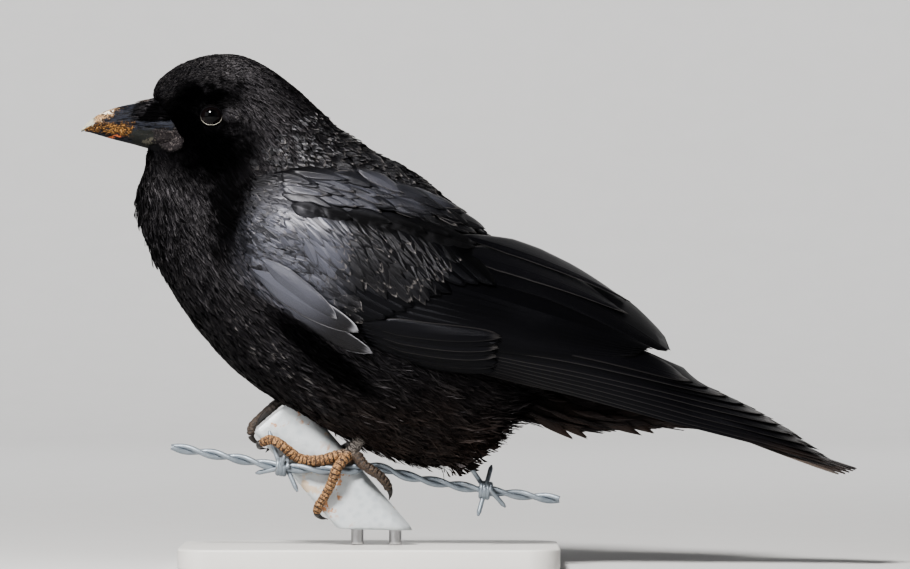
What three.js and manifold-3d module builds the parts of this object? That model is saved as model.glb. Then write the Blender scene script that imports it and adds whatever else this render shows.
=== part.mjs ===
// A life-size crow, perched on a short cut length of a sloping steel arm and of the barbed wire
// that crosses it, held up by a plain display stand. Millimetres, +Z up. The bill points to -X and
// the tail to +X; the bird's left side is -Y. The origin is at the middle of the base's underside.
import * as THREE from "three";
import { mergeVertices } from "three/addons/utils/BufferGeometryUtils.js";
import Module from "manifold-3d";

const wasm = await Module();
wasm.setup();

// ---------------------------------------------------------------- driving sizes
const GAP = 0.3; // between solids that touch
const BED_GAP = 0.6; // between a wing and the body it lies against
const SIDES = { left: -1, right: 1 };

// Body rings from the face to the vent. Each row is a ring that stands on the middle plane:
// [top x, top z, bottom x, bottom z, half width].
const BODY = [
  [-103.8, 221.6, -106.0, 197.8, 7.5],
  [-100.5, 230.5, -106.3, 193.5, 10.5],
  [-90.5, 238.3, -107.2, 188.0, 13.0],
  [-76.0, 243.0, -109.2, 183.0, 15.5],
  [-61.0, 242.5, -110.8, 177.5, 18.0],
  [-46.5, 235.5, -110.2, 169.0, 20.5],
  [-31.5, 223.5, -106.5, 157.0, 24.5],
  [-16.5, 209.3, -98.5, 139.5, 31.5],
  [-0.5, 198.5, -86.5, 119.5, 39.5],
  [18.0, 188.5, -68.5, 98.0, 45.0],
  [38.0, 173.0, -46.0, 80.5, 47.5],
  [57.0, 156.5, -20.5, 66.0, 46.0],
  [74.0, 143.5, 5.0, 55.0, 42.0],
  [88.0, 131.0, 26.0, 50.5, 35.5],
  [99.0, 118.5, 42.5, 57.5, 27.0],
  [105.5, 106.0, 51.0, 70.0, 16.0],
];
const WIDEST = 0.47; // level of a ring's widest place, from its bottom
const NECK_FROM = 0.37; // share of the way along the body where the head ends
const TRUNK_FROM = 0.5; // and where the neck ends
const SEAM = 0.002; // share of that way left open between them
const RING_SIDES = 20;

// The lores: the face is drawn in round the root of the bill.
const LORE = { x: -98, z: 207, reach: 11, depth: 0.34 };

const EYE = { x: -74.8, z: 213.8, radius: 6.4, inset: 4.5 };

// Bill rows from root to tip: [x, ridge z, cutting edge z, underside z, half width].
const BILL = [
  [-87.5, 221.0, 207.0, 199.0, 8.0],
  [-96.0, 222.0, 207.4, 198.2, 8.4],
  [-104.5, 221.3, 208.6, 198.6, 7.6],
  [-113.0, 220.0, 209.9, 200.8, 6.3],
  [-121.0, 218.2, 210.0, 202.8, 4.9],
  [-128.0, 215.6, 209.3, 204.8, 3.4],
  [-133.5, 212.0, 208.2, 206.4, 1.9],
  [-137.4, 207.9, 206.6, 207.0, 0.5],
];
const LOWER_BILL_SHARE = 0.93; // the lower half of the bill stops short of the hooked tip

// Feathered surfaces of the folded left wing, each a row of cross-lines:
// [lower x, lower z, upper x, upper z, lower |y|, middle |y|, upper |y|].
const SHIELD = [
  [-64.0, 163.0, -64.5, 174.0, 33.5, 35.5, 32.5],
  [-59.0, 146.0, -57.0, 183.5, 38.0, 42.5, 34.0],
  [-45.5, 133.5, -38.0, 187.5, 43.5, 49.5, 35.0],
  [-28.5, 120.5, -14.5, 188.5, 47.0, 53.5, 33.0],
  [-9.5, 110.5, 12.0, 183.5, 49.0, 55.0, 28.5],
  [14.0, 103.0, 38.0, 171.5, 49.5, 54.0, 20.0],
  [31.0, 96.5, 52.0, 163.5, 48.5, 52.0, 13.5],
];
const SECONDARIES = [
  [31.8, 112.0, 53.0, 163.0, 48.5, 49.5, 12.0],
  [62.0, 109.0, 72.0, 154.8, 45.5, 44.0, 7.0],
  [90.5, 102.8, 93.0, 144.8, 39.5, 35.5, 3.4],
  [114.0, 98.5, 114.0, 133.4, 31.0, 26.0, 2.4],
  [131.0, 98.2, 131.0, 121.0, 21.0, 16.5, 2.4],
  [141.3, 104.0, 141.3, 109.0, 9.0, 7.5, 3.4],
];
const PRIMARIES = [
  [31.8, 93.0, 42.0, 123.0, 45.5, 46.0, 42.5],
  [54.0, 91.0, 68.0, 118.0, 43.5, 43.0, 37.5],
  [82.0, 87.5, 100.0, 110.5, 40.5, 38.0, 29.5],
  [114.0, 79.0, 124.0, 105.5, 36.0, 31.0, 17.0],
  [138.0, 71.5, 139.0, 102.5, 31.0, 25.5, 8.0],
  [152.4, 68.8, 155.0, 90.5, 28.0, 22.0, 4.6],
  [176.5, 64.4, 176.0, 79.8, 25.0, 19.0, 3.6],
  [200.5, 57.5, 197.0, 69.2, 21.5, 16.0, 3.6],
  [216.0, 52.6, 213.0, 60.0, 16.5, 12.5, 4.6],
  [224.5, 49.8, 223.0, 51.8, 11.0, 10.0, 8.6],
];
const ALULA = [
  [-53.5, 137.5, -50.0, 145.0, 43.0, 44.5, 46.5],
  [-36.0, 119.5, -28.0, 131.5, 49.5, 52.5, 54.0],
  [-13.5, 105.5, -6.0, 119.5, 53.5, 56.0, 57.5],
  [1.6, 101.5, 1.8, 107.5, 54.5, 56.0, 56.5],
];
const PLATES = {
  coverts: { rows: SHIELD, thick: [8, 5], steps: [10, 6] },
  alula: { rows: ALULA, thick: [1.8, 1.0], steps: [6, 2] },
  secondaries: { rows: SECONDARIES, thick: [3.0, 1.4], steps: [8, 5] },
  primaries: { rows: PRIMARIES, thick: [2.4, 1.1], steps: [13, 4] },
};

// Tail: a closed fan with an arched section. Rows from root to tip: [x, middle z, half width, thickness].
const TAIL = [
  [84.0, 98.5, 13.0, 4.5],
  [112.0, 89.0, 17.5, 3.6],
  [145.0, 76.8, 20.5, 2.8],
  [180.0, 64.0, 23.0, 2.1],
  [210.0, 53.3, 24.5, 1.6],
  [225.5, 48.0, 23.0, 1.3],
  [231.5, 46.0, 13.0, 1.1],
];
const TAIL_HALF = 24.5; // the tail's widest half
const TAIL_ARCH = 6.5; // how far its edges hang below its middle line there

// Coverts under the tail, as body rings.
const UNDERTAIL = [
  [62.0, 96.0, 50.0, 72.5, 18.0],
  [80.0, 90.0, 71.0, 68.8, 18.5],
  [101.0, 81.5, 95.0, 64.8, 15.5],
  [123.0, 74.5, 118.0, 65.0, 11.5],
  [139.0, 70.5, 136.0, 65.8, 7.0],
  [151.5, 68.0, 151.0, 66.5, 2.5],
];

// The sloping arm: a flat bar with a round spine on its upper edge. Places on it are written
// [down the arm, across it towards the spine, y], from the middle of its upper cut end.
const ARM = {
  end: [-44.8, 72.8], // middle of the upper cut end, x and z
  slope: 49.3, // degrees below the horizontal, towards +X
  depth: 27, // from the spine to the lower edge
  thick: 15,
  edge: 3, // radius of the two lower corners
  foot: 17.5, // level of its lower end, cut flat
};

// The barbed wire: two strands wound together, as one section that turns along its line.
const WIRE = {
  strand: 1.25, // radius of one strand
  turn: 27, // length of one turn
  line: [
    [-94, -11.6, 57.0],
    [-67, -11.6, 52.2],
    [-41, -11.6, 47.4],
    [-19, -10.7, 45.9],
    [-8, -9.3, 46.3],
    [-2, -5.8, 47.2],
    [6, -5.4, 46.6],
    [22, -5.6, 42.0],
    [55, -5.6, 36.2],
    [90, -5.6, 31.8],
  ],
  knot: { radius: 3.5, length: 6.4 },
  prong: { root: 1.15, tip: 0.5 },
  // Each barb has its knot's x and the tips of its points, from the knot's middle.
  barbs: [
    { x: -41.4, tips: [[-6.2, 3.0, 17.0], [1.2, -6.5, 5.5], [7.4, -2.5, -11.6], [-12.5, 2.0, -3.0]] },
    { x: 54.8, tips: [[-7.0, -2.0, 11.0], [3.0, 4.5, 11.6], [-3.5, -3.5, -12.0], [9.5, 1.5, -8.0]] },
  ],
};

// Feet. A toe is a row of places on the arm that starts at the sole, and its claw goes on from it.
const FEET = {
  left: {
    sole: [37.6, 14.2, -8.5],
    knee: [3, -17, 72],
    toes: {
      middle: {
        radius: 2.8,
        toe: [[34.2, 8.6, -10.7], [30.6, 1.4, -10.8], [23.7, -5.2, -10.9], [13.7, -7.3, -13.7],
          [8.1, -9.5, -12.2], [6.3, -14.3, -8.6]],
        claw: [[6.4, -15.6, -6.8], [7.6, -16.2, -4.2], [10.0, -14.4, -1.8]],
      },
      outer: {
        radius: 2.6,
        toe: [[37.8, 10.3, -14.0], [39.0, 5.0, -15.9], [42.1, -0.6, -13.6], [44.9, -7.3, -10.9],
          [46.6, -13.1, -9.4], [48.5, -15.7, -6.4]],
        claw: [[49.6, -16.2, -4.8], [52.0, -15.8, -2.4], [54.4, -14.2, 0.4]],
      },
      back: {
        radius: 2.7,
        toe: [[41.2, 16.2, -11.2], [46.1, 16.0, -12.4], [51.9, 17.7, -12.0], [57.7, 18.5, -9.5],
          [62.2, 17.5, -6.2]],
        claw: [[63.4, 17.0, -5.4], [65.0, 15.9, -4.4], [66.4, 14.0, -3.4]],
      },
      inner: {
        radius: 2.4,
        toe: [[36.0, 17.0, -3.0], [34.6, 15.4, 3.4], [33.2, 9.4, 9.4], [32.0, 3.0, 10.5],
          [31.0, -4.0, 10.4]],
        claw: [[30.8, -5.8, 10.2], [30.4, -9.4, 9.6], [30.2, -12.6, 8.1]],
      },
    },
  },
  right: {
    sole: [4.6, 16.2, 4.6],
    knee: [-18, 15, 96],
    toes: {
      middle: {
        radius: 2.5,
        toe: [[0.4, 16.2, 3.2], [-2.8, 13.6, 2.7], [-3.2, 5.0, 2.6], [-3.2, -6.0, 2.6],
          [-2.6, -12.8, 2.6], [0.4, -16.0, 2.6]],
        claw: [[1.8, -16.4, 2.6], [4.2, -16.2, 2.6], [6.8, -14.3, 2.4]],
      },
      inner: {
        radius: 2.3,
        toe: [[1.0, 16.2, -1.2], [-2.6, 13.6, -2.6], [-3.1, 6.0, -3.2], [-3.1, -3.0, -3.4]],
        claw: [[-3.1, -4.6, -3.4], [-2.6, -8.2, -3.4], [-1.0, -10.8, -3.4]],
      },
      outer: {
        radius: 2.4,
        toe: [[5.2, 12.6, 10.4], [6.8, 5.0, 10.6], [8.6, -3.0, 10.5], [9.8, -9.0, 10.4]],
        claw: [[10.0, -10.6, 10.0], [10.6, -13.6, 9.0], [11.0, -16.0, 6.2]],
      },
      back: {
        radius: 2.6,
        toe: [[10.0, 17.6, 4.4], [15.0, 17.2, 3.4], [20.0, 16.4, 2.4]],
        claw: [[21.4, 16.6, 2.2], [24.2, 16.2, 1.8], [26.8, 14.2, 1.4]],
      },
    },
  },
};
const PAD = 3.9; // radius of the ball of the foot
const SHIN = [2.6, 3.6]; // the leg's radius at the foot and at the top

const STAND = {
  base: [180, 112, 10],
  corner: 16,
  bevel: 1.2,
  rodRadius: 3,
  rods: [-6, 12], // x of each rod
  intoArm: 6, // how deep a rod goes into the arm
};

// ---------------------------------------------------------------- finishes
const finish = (color, roughness, metalness = 0) =>
  new THREE.MeshStandardMaterial({ color, roughness, metalness });
const FINISH = {
  plumage: finish(0x15151a, 0.55),
  flight: finish(0x101018, 0.4),
  bill: finish(0x26262a, 0.35),
  eye: finish(0x120e0c, 0.08),
  skin: finish(0x8a6a44, 0.7),
  claw: finish(0x1c1a1a, 0.4),
  steel: finish(0xb4b9bd, 0.5, 0.7),
  wire: finish(0x9aa2a8, 0.45, 0.8),
  base: finish(0xd6d3cc, 0.6),
};

// ---------------------------------------------------------------- tools
const rad = THREE.MathUtils.degToRad;
const vec = (x, y, z) => new THREE.Vector3(x, y, z);
const mix = (a, b, t) => a + (b - a) * t;

// A smooth value at t, from 0 to 1, through equally spaced values: a Catmull-Rom spline that runs
// straight on past its two ends.
function along(values, t) {
  const last = values.length - 1;
  const place = THREE.MathUtils.clamp(t, 0, 1) * last;
  const i = Math.min(Math.floor(place), last - 1);
  const f = place - i;
  const at = (k) => {
    if (k < 0) return 2 * values[0] - values[1];
    return k > last ? 2 * values[last] - values[last - 1] : values[k];
  };
  const [a, b, c, d] = [at(i - 1), at(i), at(i + 1), at(i + 2)];
  return b + 0.5 * f * (c - a + f * (2 * a - 5 * b + 4 * c - d + f * (3 * (b - c) + d - a)));
}
const row = (rows, t) => rows[0].map((_, k) => along(rows.map((r) => r[k]), t));

// Joins rings of equal length, each a closed loop of points, into one closed skin. An end is closed
// by a strip between the two halves of its ring, so a thin curved section closes well.
function skinOf(rings) {
  const n = rings[0].length;
  const faces = [];
  const quad = (a, b, c, d) => faces.push(a, b, c, a, c, d);
  for (let i = 0; i + 1 < rings.length; i++)
    for (let j = 0; j < n; j++) {
      const k = (j + 1) % n;
      quad(i * n + j, i * n + k, (i + 1) * n + k, (i + 1) * n + j);
    }
  const last = (rings.length - 1) * n;
  for (let j = 0; j + 1 < n - 1 - j; j++) {
    const [a, b, c, d] = [j, j + 1, n - 2 - j, n - 1 - j];
    if (b === c) {
      faces.push(a, d, b, last + a, last + b, last + d);
      continue;
    }
    quad(d, c, b, a);
    quad(last + a, last + b, last + c, last + d);
  }
  return new THREE.BufferGeometry().setFromPoints(rings.flat()).setIndex(faces);
}

// A manifold-3d solid from closed three.js geometry, turned the right way out.
function solid(geometry) {
  const bare = geometry.clone();
  bare.deleteAttribute("normal");
  bare.deleteAttribute("uv");
  const merged = mergeVertices(bare, 1e-3);
  const make = (triVerts) =>
    new wasm.Manifold(
      new wasm.Mesh({ numProp: 3, vertProperties: merged.attributes.position.array, triVerts }),
    );
  const faces = new Uint32Array(merged.index.array);
  const made = make(faces);
  return made.volume() > 0 ? made : make(faces.reverse());
}

function geometryOf(body) {
  const mesh = body.getMesh();
  const places = new Float32Array(mesh.numVert * 3);
  for (let i = 0; i < mesh.numVert; i++)
    places.set(mesh.vertProperties.subarray(i * mesh.numProp, i * mesh.numProp + 3), i * 3);
  return new THREE.BufferGeometry()
    .setAttribute("position", new THREE.BufferAttribute(places, 3))
    .setIndex(new THREE.BufferAttribute(new Uint32Array(mesh.triVerts), 1));
}

const cut = (body, ...tools) => tools.reduce((left, tool) => left.subtract(tool), body);
const join = (...bodies) => bodies.reduce((whole, more) => whole.add(more));
// The largest separate lump of a solid, which drops slivers that a cut leaves.
const largest = (body) =>
  body.decompose().reduce((best, lump) => (lump.volume() > best.volume() ? lump : best));

// A tube of changing radius round a curve; the radius is a function of the share along it.
function tube(points, radius, sides = 8, steps = 12) {
  const curve = new THREE.CatmullRomCurve3(points, false, "centripetal");
  const frames = curve.computeFrenetFrames(steps, false);
  const rings = Array.from({ length: steps + 1 }, (_, i) => {
    const r = radius(i / steps);
    return Array.from({ length: sides }, (_, j) => {
      const turn = (2 * Math.PI * j) / sides;
      return curve
        .getPointAt(i / steps)
        .addScaledVector(frames.normals[i], r * Math.cos(turn))
        .addScaledVector(frames.binormals[i], r * Math.sin(turn));
    });
  });
  return solid(skinOf(rings));
}

// ---------------------------------------------------------------- head, neck and trunk
// A ring between a top and a bottom point: two half ellipses that meet at its widest level.
function bodyRing(rows, t, sides, grow = 0) {
  const [topX, topZ, bottomX, bottomZ, half] = row(rows, t);
  const height = Math.hypot(topX - bottomX, topZ - bottomZ);
  const up = [(topX - bottomX) / height, (topZ - bottomZ) / height];
  return Array.from({ length: sides }, (_, j) => {
    const turn = (2 * Math.PI * j) / sides;
    const reach = Math.cos(turn) > 0 ? 1 - WIDEST : WIDEST;
    const level = WIDEST * height + Math.cos(turn) * (reach * height + grow);
    const x = bottomX + up[0] * level;
    const z = bottomZ + up[1] * level;
    const near = Math.hypot(x - LORE.x, z - LORE.z) / LORE.reach;
    return vec(x, Math.sin(turn) * (half + grow) * (1 - LORE.depth * Math.exp(-near * near)), z);
  });
}
function lofted(rows, from, to, count, grow = 0, sides = RING_SIDES) {
  const rings = Array.from({ length: count + 1 }, (_, i) =>
    bodyRing(rows, mix(from, to, i / count), sides, grow),
  );
  // A grown body reaches further at its two ends too.
  const ahead = rings.at(-1)[0].clone().sub(rings.at(-2)[0]).setY(0).setLength(grow);
  const behind = rings[0][0].clone().sub(rings[1][0]).setY(0).setLength(grow);
  rings.at(-1).forEach((p) => p.add(ahead));
  rings[0].forEach((p) => p.add(behind));
  return solid(skinOf(rings));
}

// Half the head's width at a place on its side: that of the nearest point of its rings.
function headHalf(x, z) {
  const points = Array.from({ length: 80 }, (_, i) => bodyRing(BODY, (0.4 * i) / 80, 72)).flat();
  const away = (p) => Math.hypot(p.x - x, p.z - z) + (p.y < 0 ? 100 : 0);
  return points.reduce((best, p) => (away(p) < away(best) ? p : best)).y;
}

// ---------------------------------------------------------------- bill
// Each half is a half-round section on the line of the cutting edges. The upper half's ridge is
// its top, and the lower half's ridge its underside.
function billHalf(upper, grow = 0) {
  const steps = 9;
  const sides = 8;
  const last = upper ? 1 : LOWER_BILL_SHARE;
  const rings = Array.from({ length: steps + 1 }, (_, i) => {
    const [x, ridge, edge, under, half] = row(BILL, (last * i) / steps);
    const sign = upper ? 1 : -1;
    const start = edge + sign * (GAP / 2 - grow);
    const far = (upper ? Math.max(ridge, edge + 0.5) : Math.min(under, edge - 0.5)) + sign * grow;
    return Array.from({ length: sides + 1 }, (_, j) => {
      const turn = (Math.PI * j) / sides;
      const rise = Math.sin(turn) ** 0.85;
      return vec(x - (i === steps ? grow : 0), Math.cos(turn) * (half + grow), mix(start, far, rise));
    });
  });
  return solid(skinOf(rings));
}

// ---------------------------------------------------------------- wings and tail
// A point on a folded wing's outer face: a curve through its lower, middle and upper places.
function wingPoint(rows, s, t) {
  const [lowX, lowZ, topX, topZ, lowY, midY, topY] = row(rows, s);
  const y = lowY * (1 - t) * (1 - 2 * t) + midY * 4 * t * (1 - t) + topY * t * (2 * t - 1);
  return vec(mix(lowX, topX, t), -y, mix(lowZ, topZ, t));
}
// A plate under that face, thinner towards its tip. It's made for the left wing, at -Y.
function plate({ rows, thick, steps }, grow = 0) {
  const [count, across] = steps;
  const rings = Array.from({ length: count + 1 }, (_, i) => {
    const s = i / count;
    const deep = mix(thick[0], thick[1], s);
    const faces = Array.from({ length: across + 1 }, (_, j) => {
      const t = j / across;
      const here = wingPoint(rows, s, t);
      const e = 0.01;
      const [s0, s1] = [Math.max(s - e, 0), Math.min(s + e, 1)];
      const [t0, t1] = [Math.max(t - e, 0), Math.min(t + e, 1)];
      const down = wingPoint(rows, s1, t).sub(wingPoint(rows, s0, t)).normalize();
      const up = wingPoint(rows, s, t1).sub(wingPoint(rows, s, t0)).normalize();
      const out = down.clone().cross(up).normalize();
      if (out.y > 0) out.negate();
      // A grown plate also runs on past its four edges.
      here.addScaledVector(down, grow * ((i === count) - (i === 0)));
      here.addScaledVector(up, grow * ((j === across) - (j === 0)));
      const edge = 0.35 + 0.65 * Math.min(1, 6 * Math.min(t, 1 - t));
      const inner = here.clone().addScaledVector(out, -deep * edge - grow);
      return [here.addScaledVector(out, grow), inner];
    });
    return [...faces.map(([outer]) => outer), ...faces.map(([, inner]) => inner).reverse()];
  });
  return solid(skinOf(rings));
}

// The tail: an arched lens section that widens to a rounded end.
function tailSolid(grow = 0) {
  const [steps, across] = [10, 6];
  const rings = Array.from({ length: steps + 1 }, (_, i) => {
    const [x, z, half, thick] = row(TAIL, i / steps);
    const face = (sign) =>
      Array.from({ length: across + 1 }, (_, j) => {
        const t = (2 * j) / across - 1;
        const lens = 0.25 + 0.75 * Math.sqrt(Math.max(0, 1 - t * t));
        const sag = TAIL_ARCH * (half / TAIL_HALF) ** 2 * t * t;
        return vec(x, (half + grow) * t, z - sag + sign * ((thick * lens) / 2 + grow));
      });
    return [...face(1), ...face(-1).reverse()];
  });
  return solid(skinOf(rings));
}

// ---------------------------------------------------------------- the sloping arm
const AXIS = [Math.cos(rad(ARM.slope)), -Math.sin(rad(ARM.slope))]; // down the arm, in x and z
const SPINE = [-AXIS[1], AXIS[0]]; // across it, towards the spine
const onArm = ([down, across, y]) =>
  vec(
    ARM.end[0] + AXIS[0] * down + SPINE[0] * across,
    y,
    ARM.end[1] + AXIS[1] * down + SPINE[1] * across,
  );

function armSolid(grow = 0) {
  const [half, round] = [ARM.thick / 2 + grow, ARM.depth / 2 + grow];
  const outline = new THREE.Shape();
  outline.absarc(-half + ARM.edge, -round + ARM.edge, ARM.edge, Math.PI, 1.5 * Math.PI);
  outline.absarc(half - ARM.edge, -round + ARM.edge, ARM.edge, 1.5 * Math.PI, 2 * Math.PI);
  outline.absarc(0, round - half, half, 0, Math.PI);
  const bar = new THREE.ExtrudeGeometry(outline, {
    depth: 110, // well past the level of its foot
    bevelEnabled: false,
    curveSegments: 5,
  });
  // The outline's own axes are y and the spine, and it is drawn out along the arm.
  const place = new THREE.Matrix4().makeBasis(
    vec(0, 1, 0),
    vec(SPINE[0], 0, SPINE[1]),
    vec(AXIS[0], 0, AXIS[1]),
  );
  place.setPosition(onArm([-grow, 0, 0]));
  const below = new THREE.BoxGeometry(200, 60, 100).translate(0, 0, ARM.foot - grow - 50);
  return cut(solid(bar.applyMatrix4(place)), solid(below));
}

// ---------------------------------------------------------------- feet
const toeRadius = (r) => (k) => r * (1 - 0.26 * k);
const clawRadius = (r) => (k) => Math.max(0.3, r * 0.62 * (1 - k ** 1.5));

function footParts(side, grow = 0) {
  const foot = FEET[side];
  const sole = onArm(foot.sole);
  const flesh = [solid(new THREE.SphereGeometry(PAD + grow, 8, 5).translate(...sole))];
  const claws = {};
  for (const [name, { radius, toe, claw }] of Object.entries(foot.toes)) {
    const thick = toeRadius(radius);
    flesh.push(tube([sole, ...toe.map(onArm)], (k) => thick(k) + grow, 6, 7));
    const sharp = clawRadius(radius);
    claws[name] = tube(claw.map(onArm), (k) => sharp(k) + grow, 5, 3);
  }
  const knee = vec(...foot.knee);
  const shin = [sole, sole.clone().lerp(knee, 0.5), knee];
  return { flesh: join(...flesh), claws, shin: tube(shin, (k) => mix(...SHIN, k) + grow, 8, 2) };
}

// ---------------------------------------------------------------- barbed wire
const wireCurve = new THREE.CatmullRomCurve3(WIRE.line.map((p) => vec(...p)), false, "centripetal");

// The share of the wire's length at which it reaches an x.
function wireShare(x) {
  let [low, high] = [0, 1];
  for (let i = 0; i < 30; i++) {
    const middle = (low + high) / 2;
    if (wireCurve.getPointAt(middle).x < x) low = middle;
    else high = middle;
  }
  return low;
}

function wireSolid() {
  const [steps, sides] = [40, 6];
  const length = wireCurve.getLength();
  const [up, r] = [vec(0, 0, 1), WIRE.strand];
  const rings = Array.from({ length: steps + 1 }, (_, i) => {
    const middle = wireCurve.getPointAt(i / steps);
    const side = up.clone().cross(wireCurve.getTangentAt(i / steps)).normalize();
    const twist = (2 * Math.PI * length * i) / (steps * WIRE.turn);
    // An oval, as two strands side by side.
    return Array.from({ length: sides }, (_, j) => {
      const turn = (2 * Math.PI * j) / sides;
      const [a, b] = [2 * r * Math.cos(turn), r * Math.sin(turn)];
      return middle
        .clone()
        .addScaledVector(side, a * Math.cos(twist) - b * Math.sin(twist))
        .addScaledVector(up, a * Math.sin(twist) + b * Math.cos(twist));
    });
  });
  const { knot, prong } = WIRE;
  const barbs = WIRE.barbs.flatMap(({ x, tips }) => {
    const at = wireShare(x);
    const reach = knot.length / 2 / length;
    const ends = [at - reach, at, at + reach].map((t) => wireCurve.getPointAt(t));
    const middle = ends[1];
    const points = tips.map((tip) => {
      const end = middle.clone().add(vec(...tip));
      const root = middle.clone().lerp(end, 0.1);
      const halfway = root.clone().lerp(end, 0.5);
      return tube([root, halfway, end], (k) => mix(prong.root, prong.tip, k ** 3), 4, 2);
    });
    return [tube(ends, () => knot.radius, 8, 1), ...points];
  });
  return join(solid(skinOf(rings)), ...barbs);
}

// ---------------------------------------------------------------- stand
function baseSolid() {
  const [width, deep, high] = STAND.base;
  const r = STAND.corner;
  const [x, y] = [width / 2 - STAND.bevel, deep / 2 - STAND.bevel];
  const outline = new THREE.Shape();
  for (const [i, [cx, cy]] of [[x, y], [-x, y], [-x, -y], [x, -y]].entries()) {
    const [ax, ay] = [cx - Math.sign(cx) * r, cy - Math.sign(cy) * r];
    outline.absarc(ax, ay, r, (i * Math.PI) / 2, ((i + 1) * Math.PI) / 2);
  }
  const slab = new THREE.ExtrudeGeometry(outline, {
    depth: high - 2 * STAND.bevel,
    bevelSize: STAND.bevel,
    bevelThickness: STAND.bevel,
    bevelSegments: 1,
    curveSegments: 6,
  });
  return solid(slab.translate(0, 0, STAND.bevel));
}
function rodSolid(x, grow = 0) {
  const bottom = STAND.base[2] + GAP;
  const top = ARM.foot + STAND.intoArm;
  const radius = STAND.rodRadius + grow;
  const rod = new THREE.CylinderGeometry(radius, radius, top - bottom + 2 * grow, 16);
  return solid(rod.rotateX(Math.PI / 2).translate(x, 0, (top + bottom) / 2));
}

// ---------------------------------------------------------------- put together
const model = new THREE.Group();
function add(name, body, material) {
  const mesh = new THREE.Mesh(geometryOf(largest(body)), material);
  mesh.name = name;
  model.add(mesh);
}
// The same solid on the bird's other side.
const onSide = (body, sign) => (sign < 0 ? body : solid(geometryOf(body).scale(1, -1, 1)));

const wings = {};
const wingRoom = {};
for (const [name, shape] of Object.entries(PLATES)) {
  wings[name] = plate(shape);
  wingRoom[name] = plate(shape, GAP);
}
// Simpler shapes to cut the body with, where the wings lie against it.
const wingBeds = (...names) =>
  names.flatMap((name) => Object.values(SIDES).map((sign) => onSide(plate(PLATES[name], BED_GAP), sign)));
const feet = { left: footParts("left"), right: footParts("right") };
const footRoom = { left: footParts("left", GAP), right: footParts("right", GAP) };
const feetRooms = Object.values(footRoom).flatMap(({ flesh, shin, claws }) => [
  flesh,
  shin,
  ...Object.values(claws),
]);
const armRoom = armSolid(GAP);
const wire = wireSolid();

// Head, with sockets for the eyes and the root of the bill.
const eyeOut = headHalf(EYE.x, EYE.z) - EYE.inset;
const eye = (sign, grow = 0) =>
  solid(new THREE.SphereGeometry(EYE.radius + grow, 12, 7).translate(EYE.x, sign * eyeOut, EYE.z));
const sockets = Object.values(SIDES).map((sign) => eye(sign, GAP));
const billRooms = [billHalf(true, GAP), billHalf(false, GAP)];
add("head", cut(lofted(BODY, 0, NECK_FROM, 9), ...billRooms, ...sockets), FINISH.plumage);
add("bill_upper", billHalf(true), FINISH.bill);
add("bill_lower", billHalf(false), FINISH.bill);
for (const [side, sign] of Object.entries(SIDES)) add("eye_" + side, eye(sign), FINISH.eye);

add("neck", lofted(BODY, NECK_FROM + SEAM, TRUNK_FROM, 4), FINISH.plumage);
const neckRoom = lofted(BODY, NECK_FROM + SEAM, TRUNK_FROM, 4, GAP);
const trunk = lofted(BODY, TRUNK_FROM + SEAM, 1, 11);
const trunkRoom = lofted(BODY, TRUNK_FROM + SEAM, 1, 11, GAP);
const overTrunk = wingBeds("coverts", "secondaries", "primaries");
add("trunk", cut(trunk, ...overTrunk, ...feetRooms, armRoom), FINISH.plumage);
add("tail", cut(tailSolid(), trunkRoom, ...overTrunk), FINISH.flight);
const under = lofted(UNDERTAIL, 0, 1, 7, 0, 12);
add("undertail", cut(under, trunkRoom, tailSolid(GAP), ...overTrunk), FINISH.plumage);

for (const [side, sign] of Object.entries(SIDES)) {
  const put = (name, body, material) => add(`wing_${side}_${name}`, onSide(body, sign), material);
  put("coverts", cut(wings.coverts, wingRoom.alula, neckRoom), FINISH.plumage);
  put("alula", wings.alula, FINISH.flight);
  put("secondaries", cut(wings.secondaries, wingRoom.coverts), FINISH.flight);
  put("primaries", cut(wings.primaries, wingRoom.secondaries, wingRoom.coverts), FINISH.flight);

  const own = footRoom[side];
  add("leg_" + side, cut(feet[side].shin, own.flesh), FINISH.skin);
  add("foot_" + side, cut(feet[side].flesh, armRoom), FINISH.skin);
  for (const [toe, claw] of Object.entries(feet[side].claws))
    add(`claw_${side}_${toe}`, cut(claw, own.flesh, armRoom), FINISH.claw);
}

const rodRooms = STAND.rods.map((x) => rodSolid(x, GAP));
add("perch_arm", cut(armSolid(), ...rodRooms), FINISH.steel);
add("perch_wire", wire, FINISH.wire);
add("stand_base", baseSolid(), FINISH.base);
STAND.rods.forEach((x, i) => add(`stand_rod_${i + 1}`, rodSolid(x), FINISH.steel));

export default model;
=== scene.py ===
# %% [markdown]
# # A life-size crow on a wire
# A museum model of a perched crow: one skin, a coat of separate feathers over it, a horn bill,
# glassy eyes, scaly feet, and the short cut of steel arm and barbed wire that it grips.
# Every surface here is a formula worked out on whole arrays. Lengths are in millimetres until
# `put_mesh` turns them into metres. The bill points to -X, the tail to +X, the left side is -Y.

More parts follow.
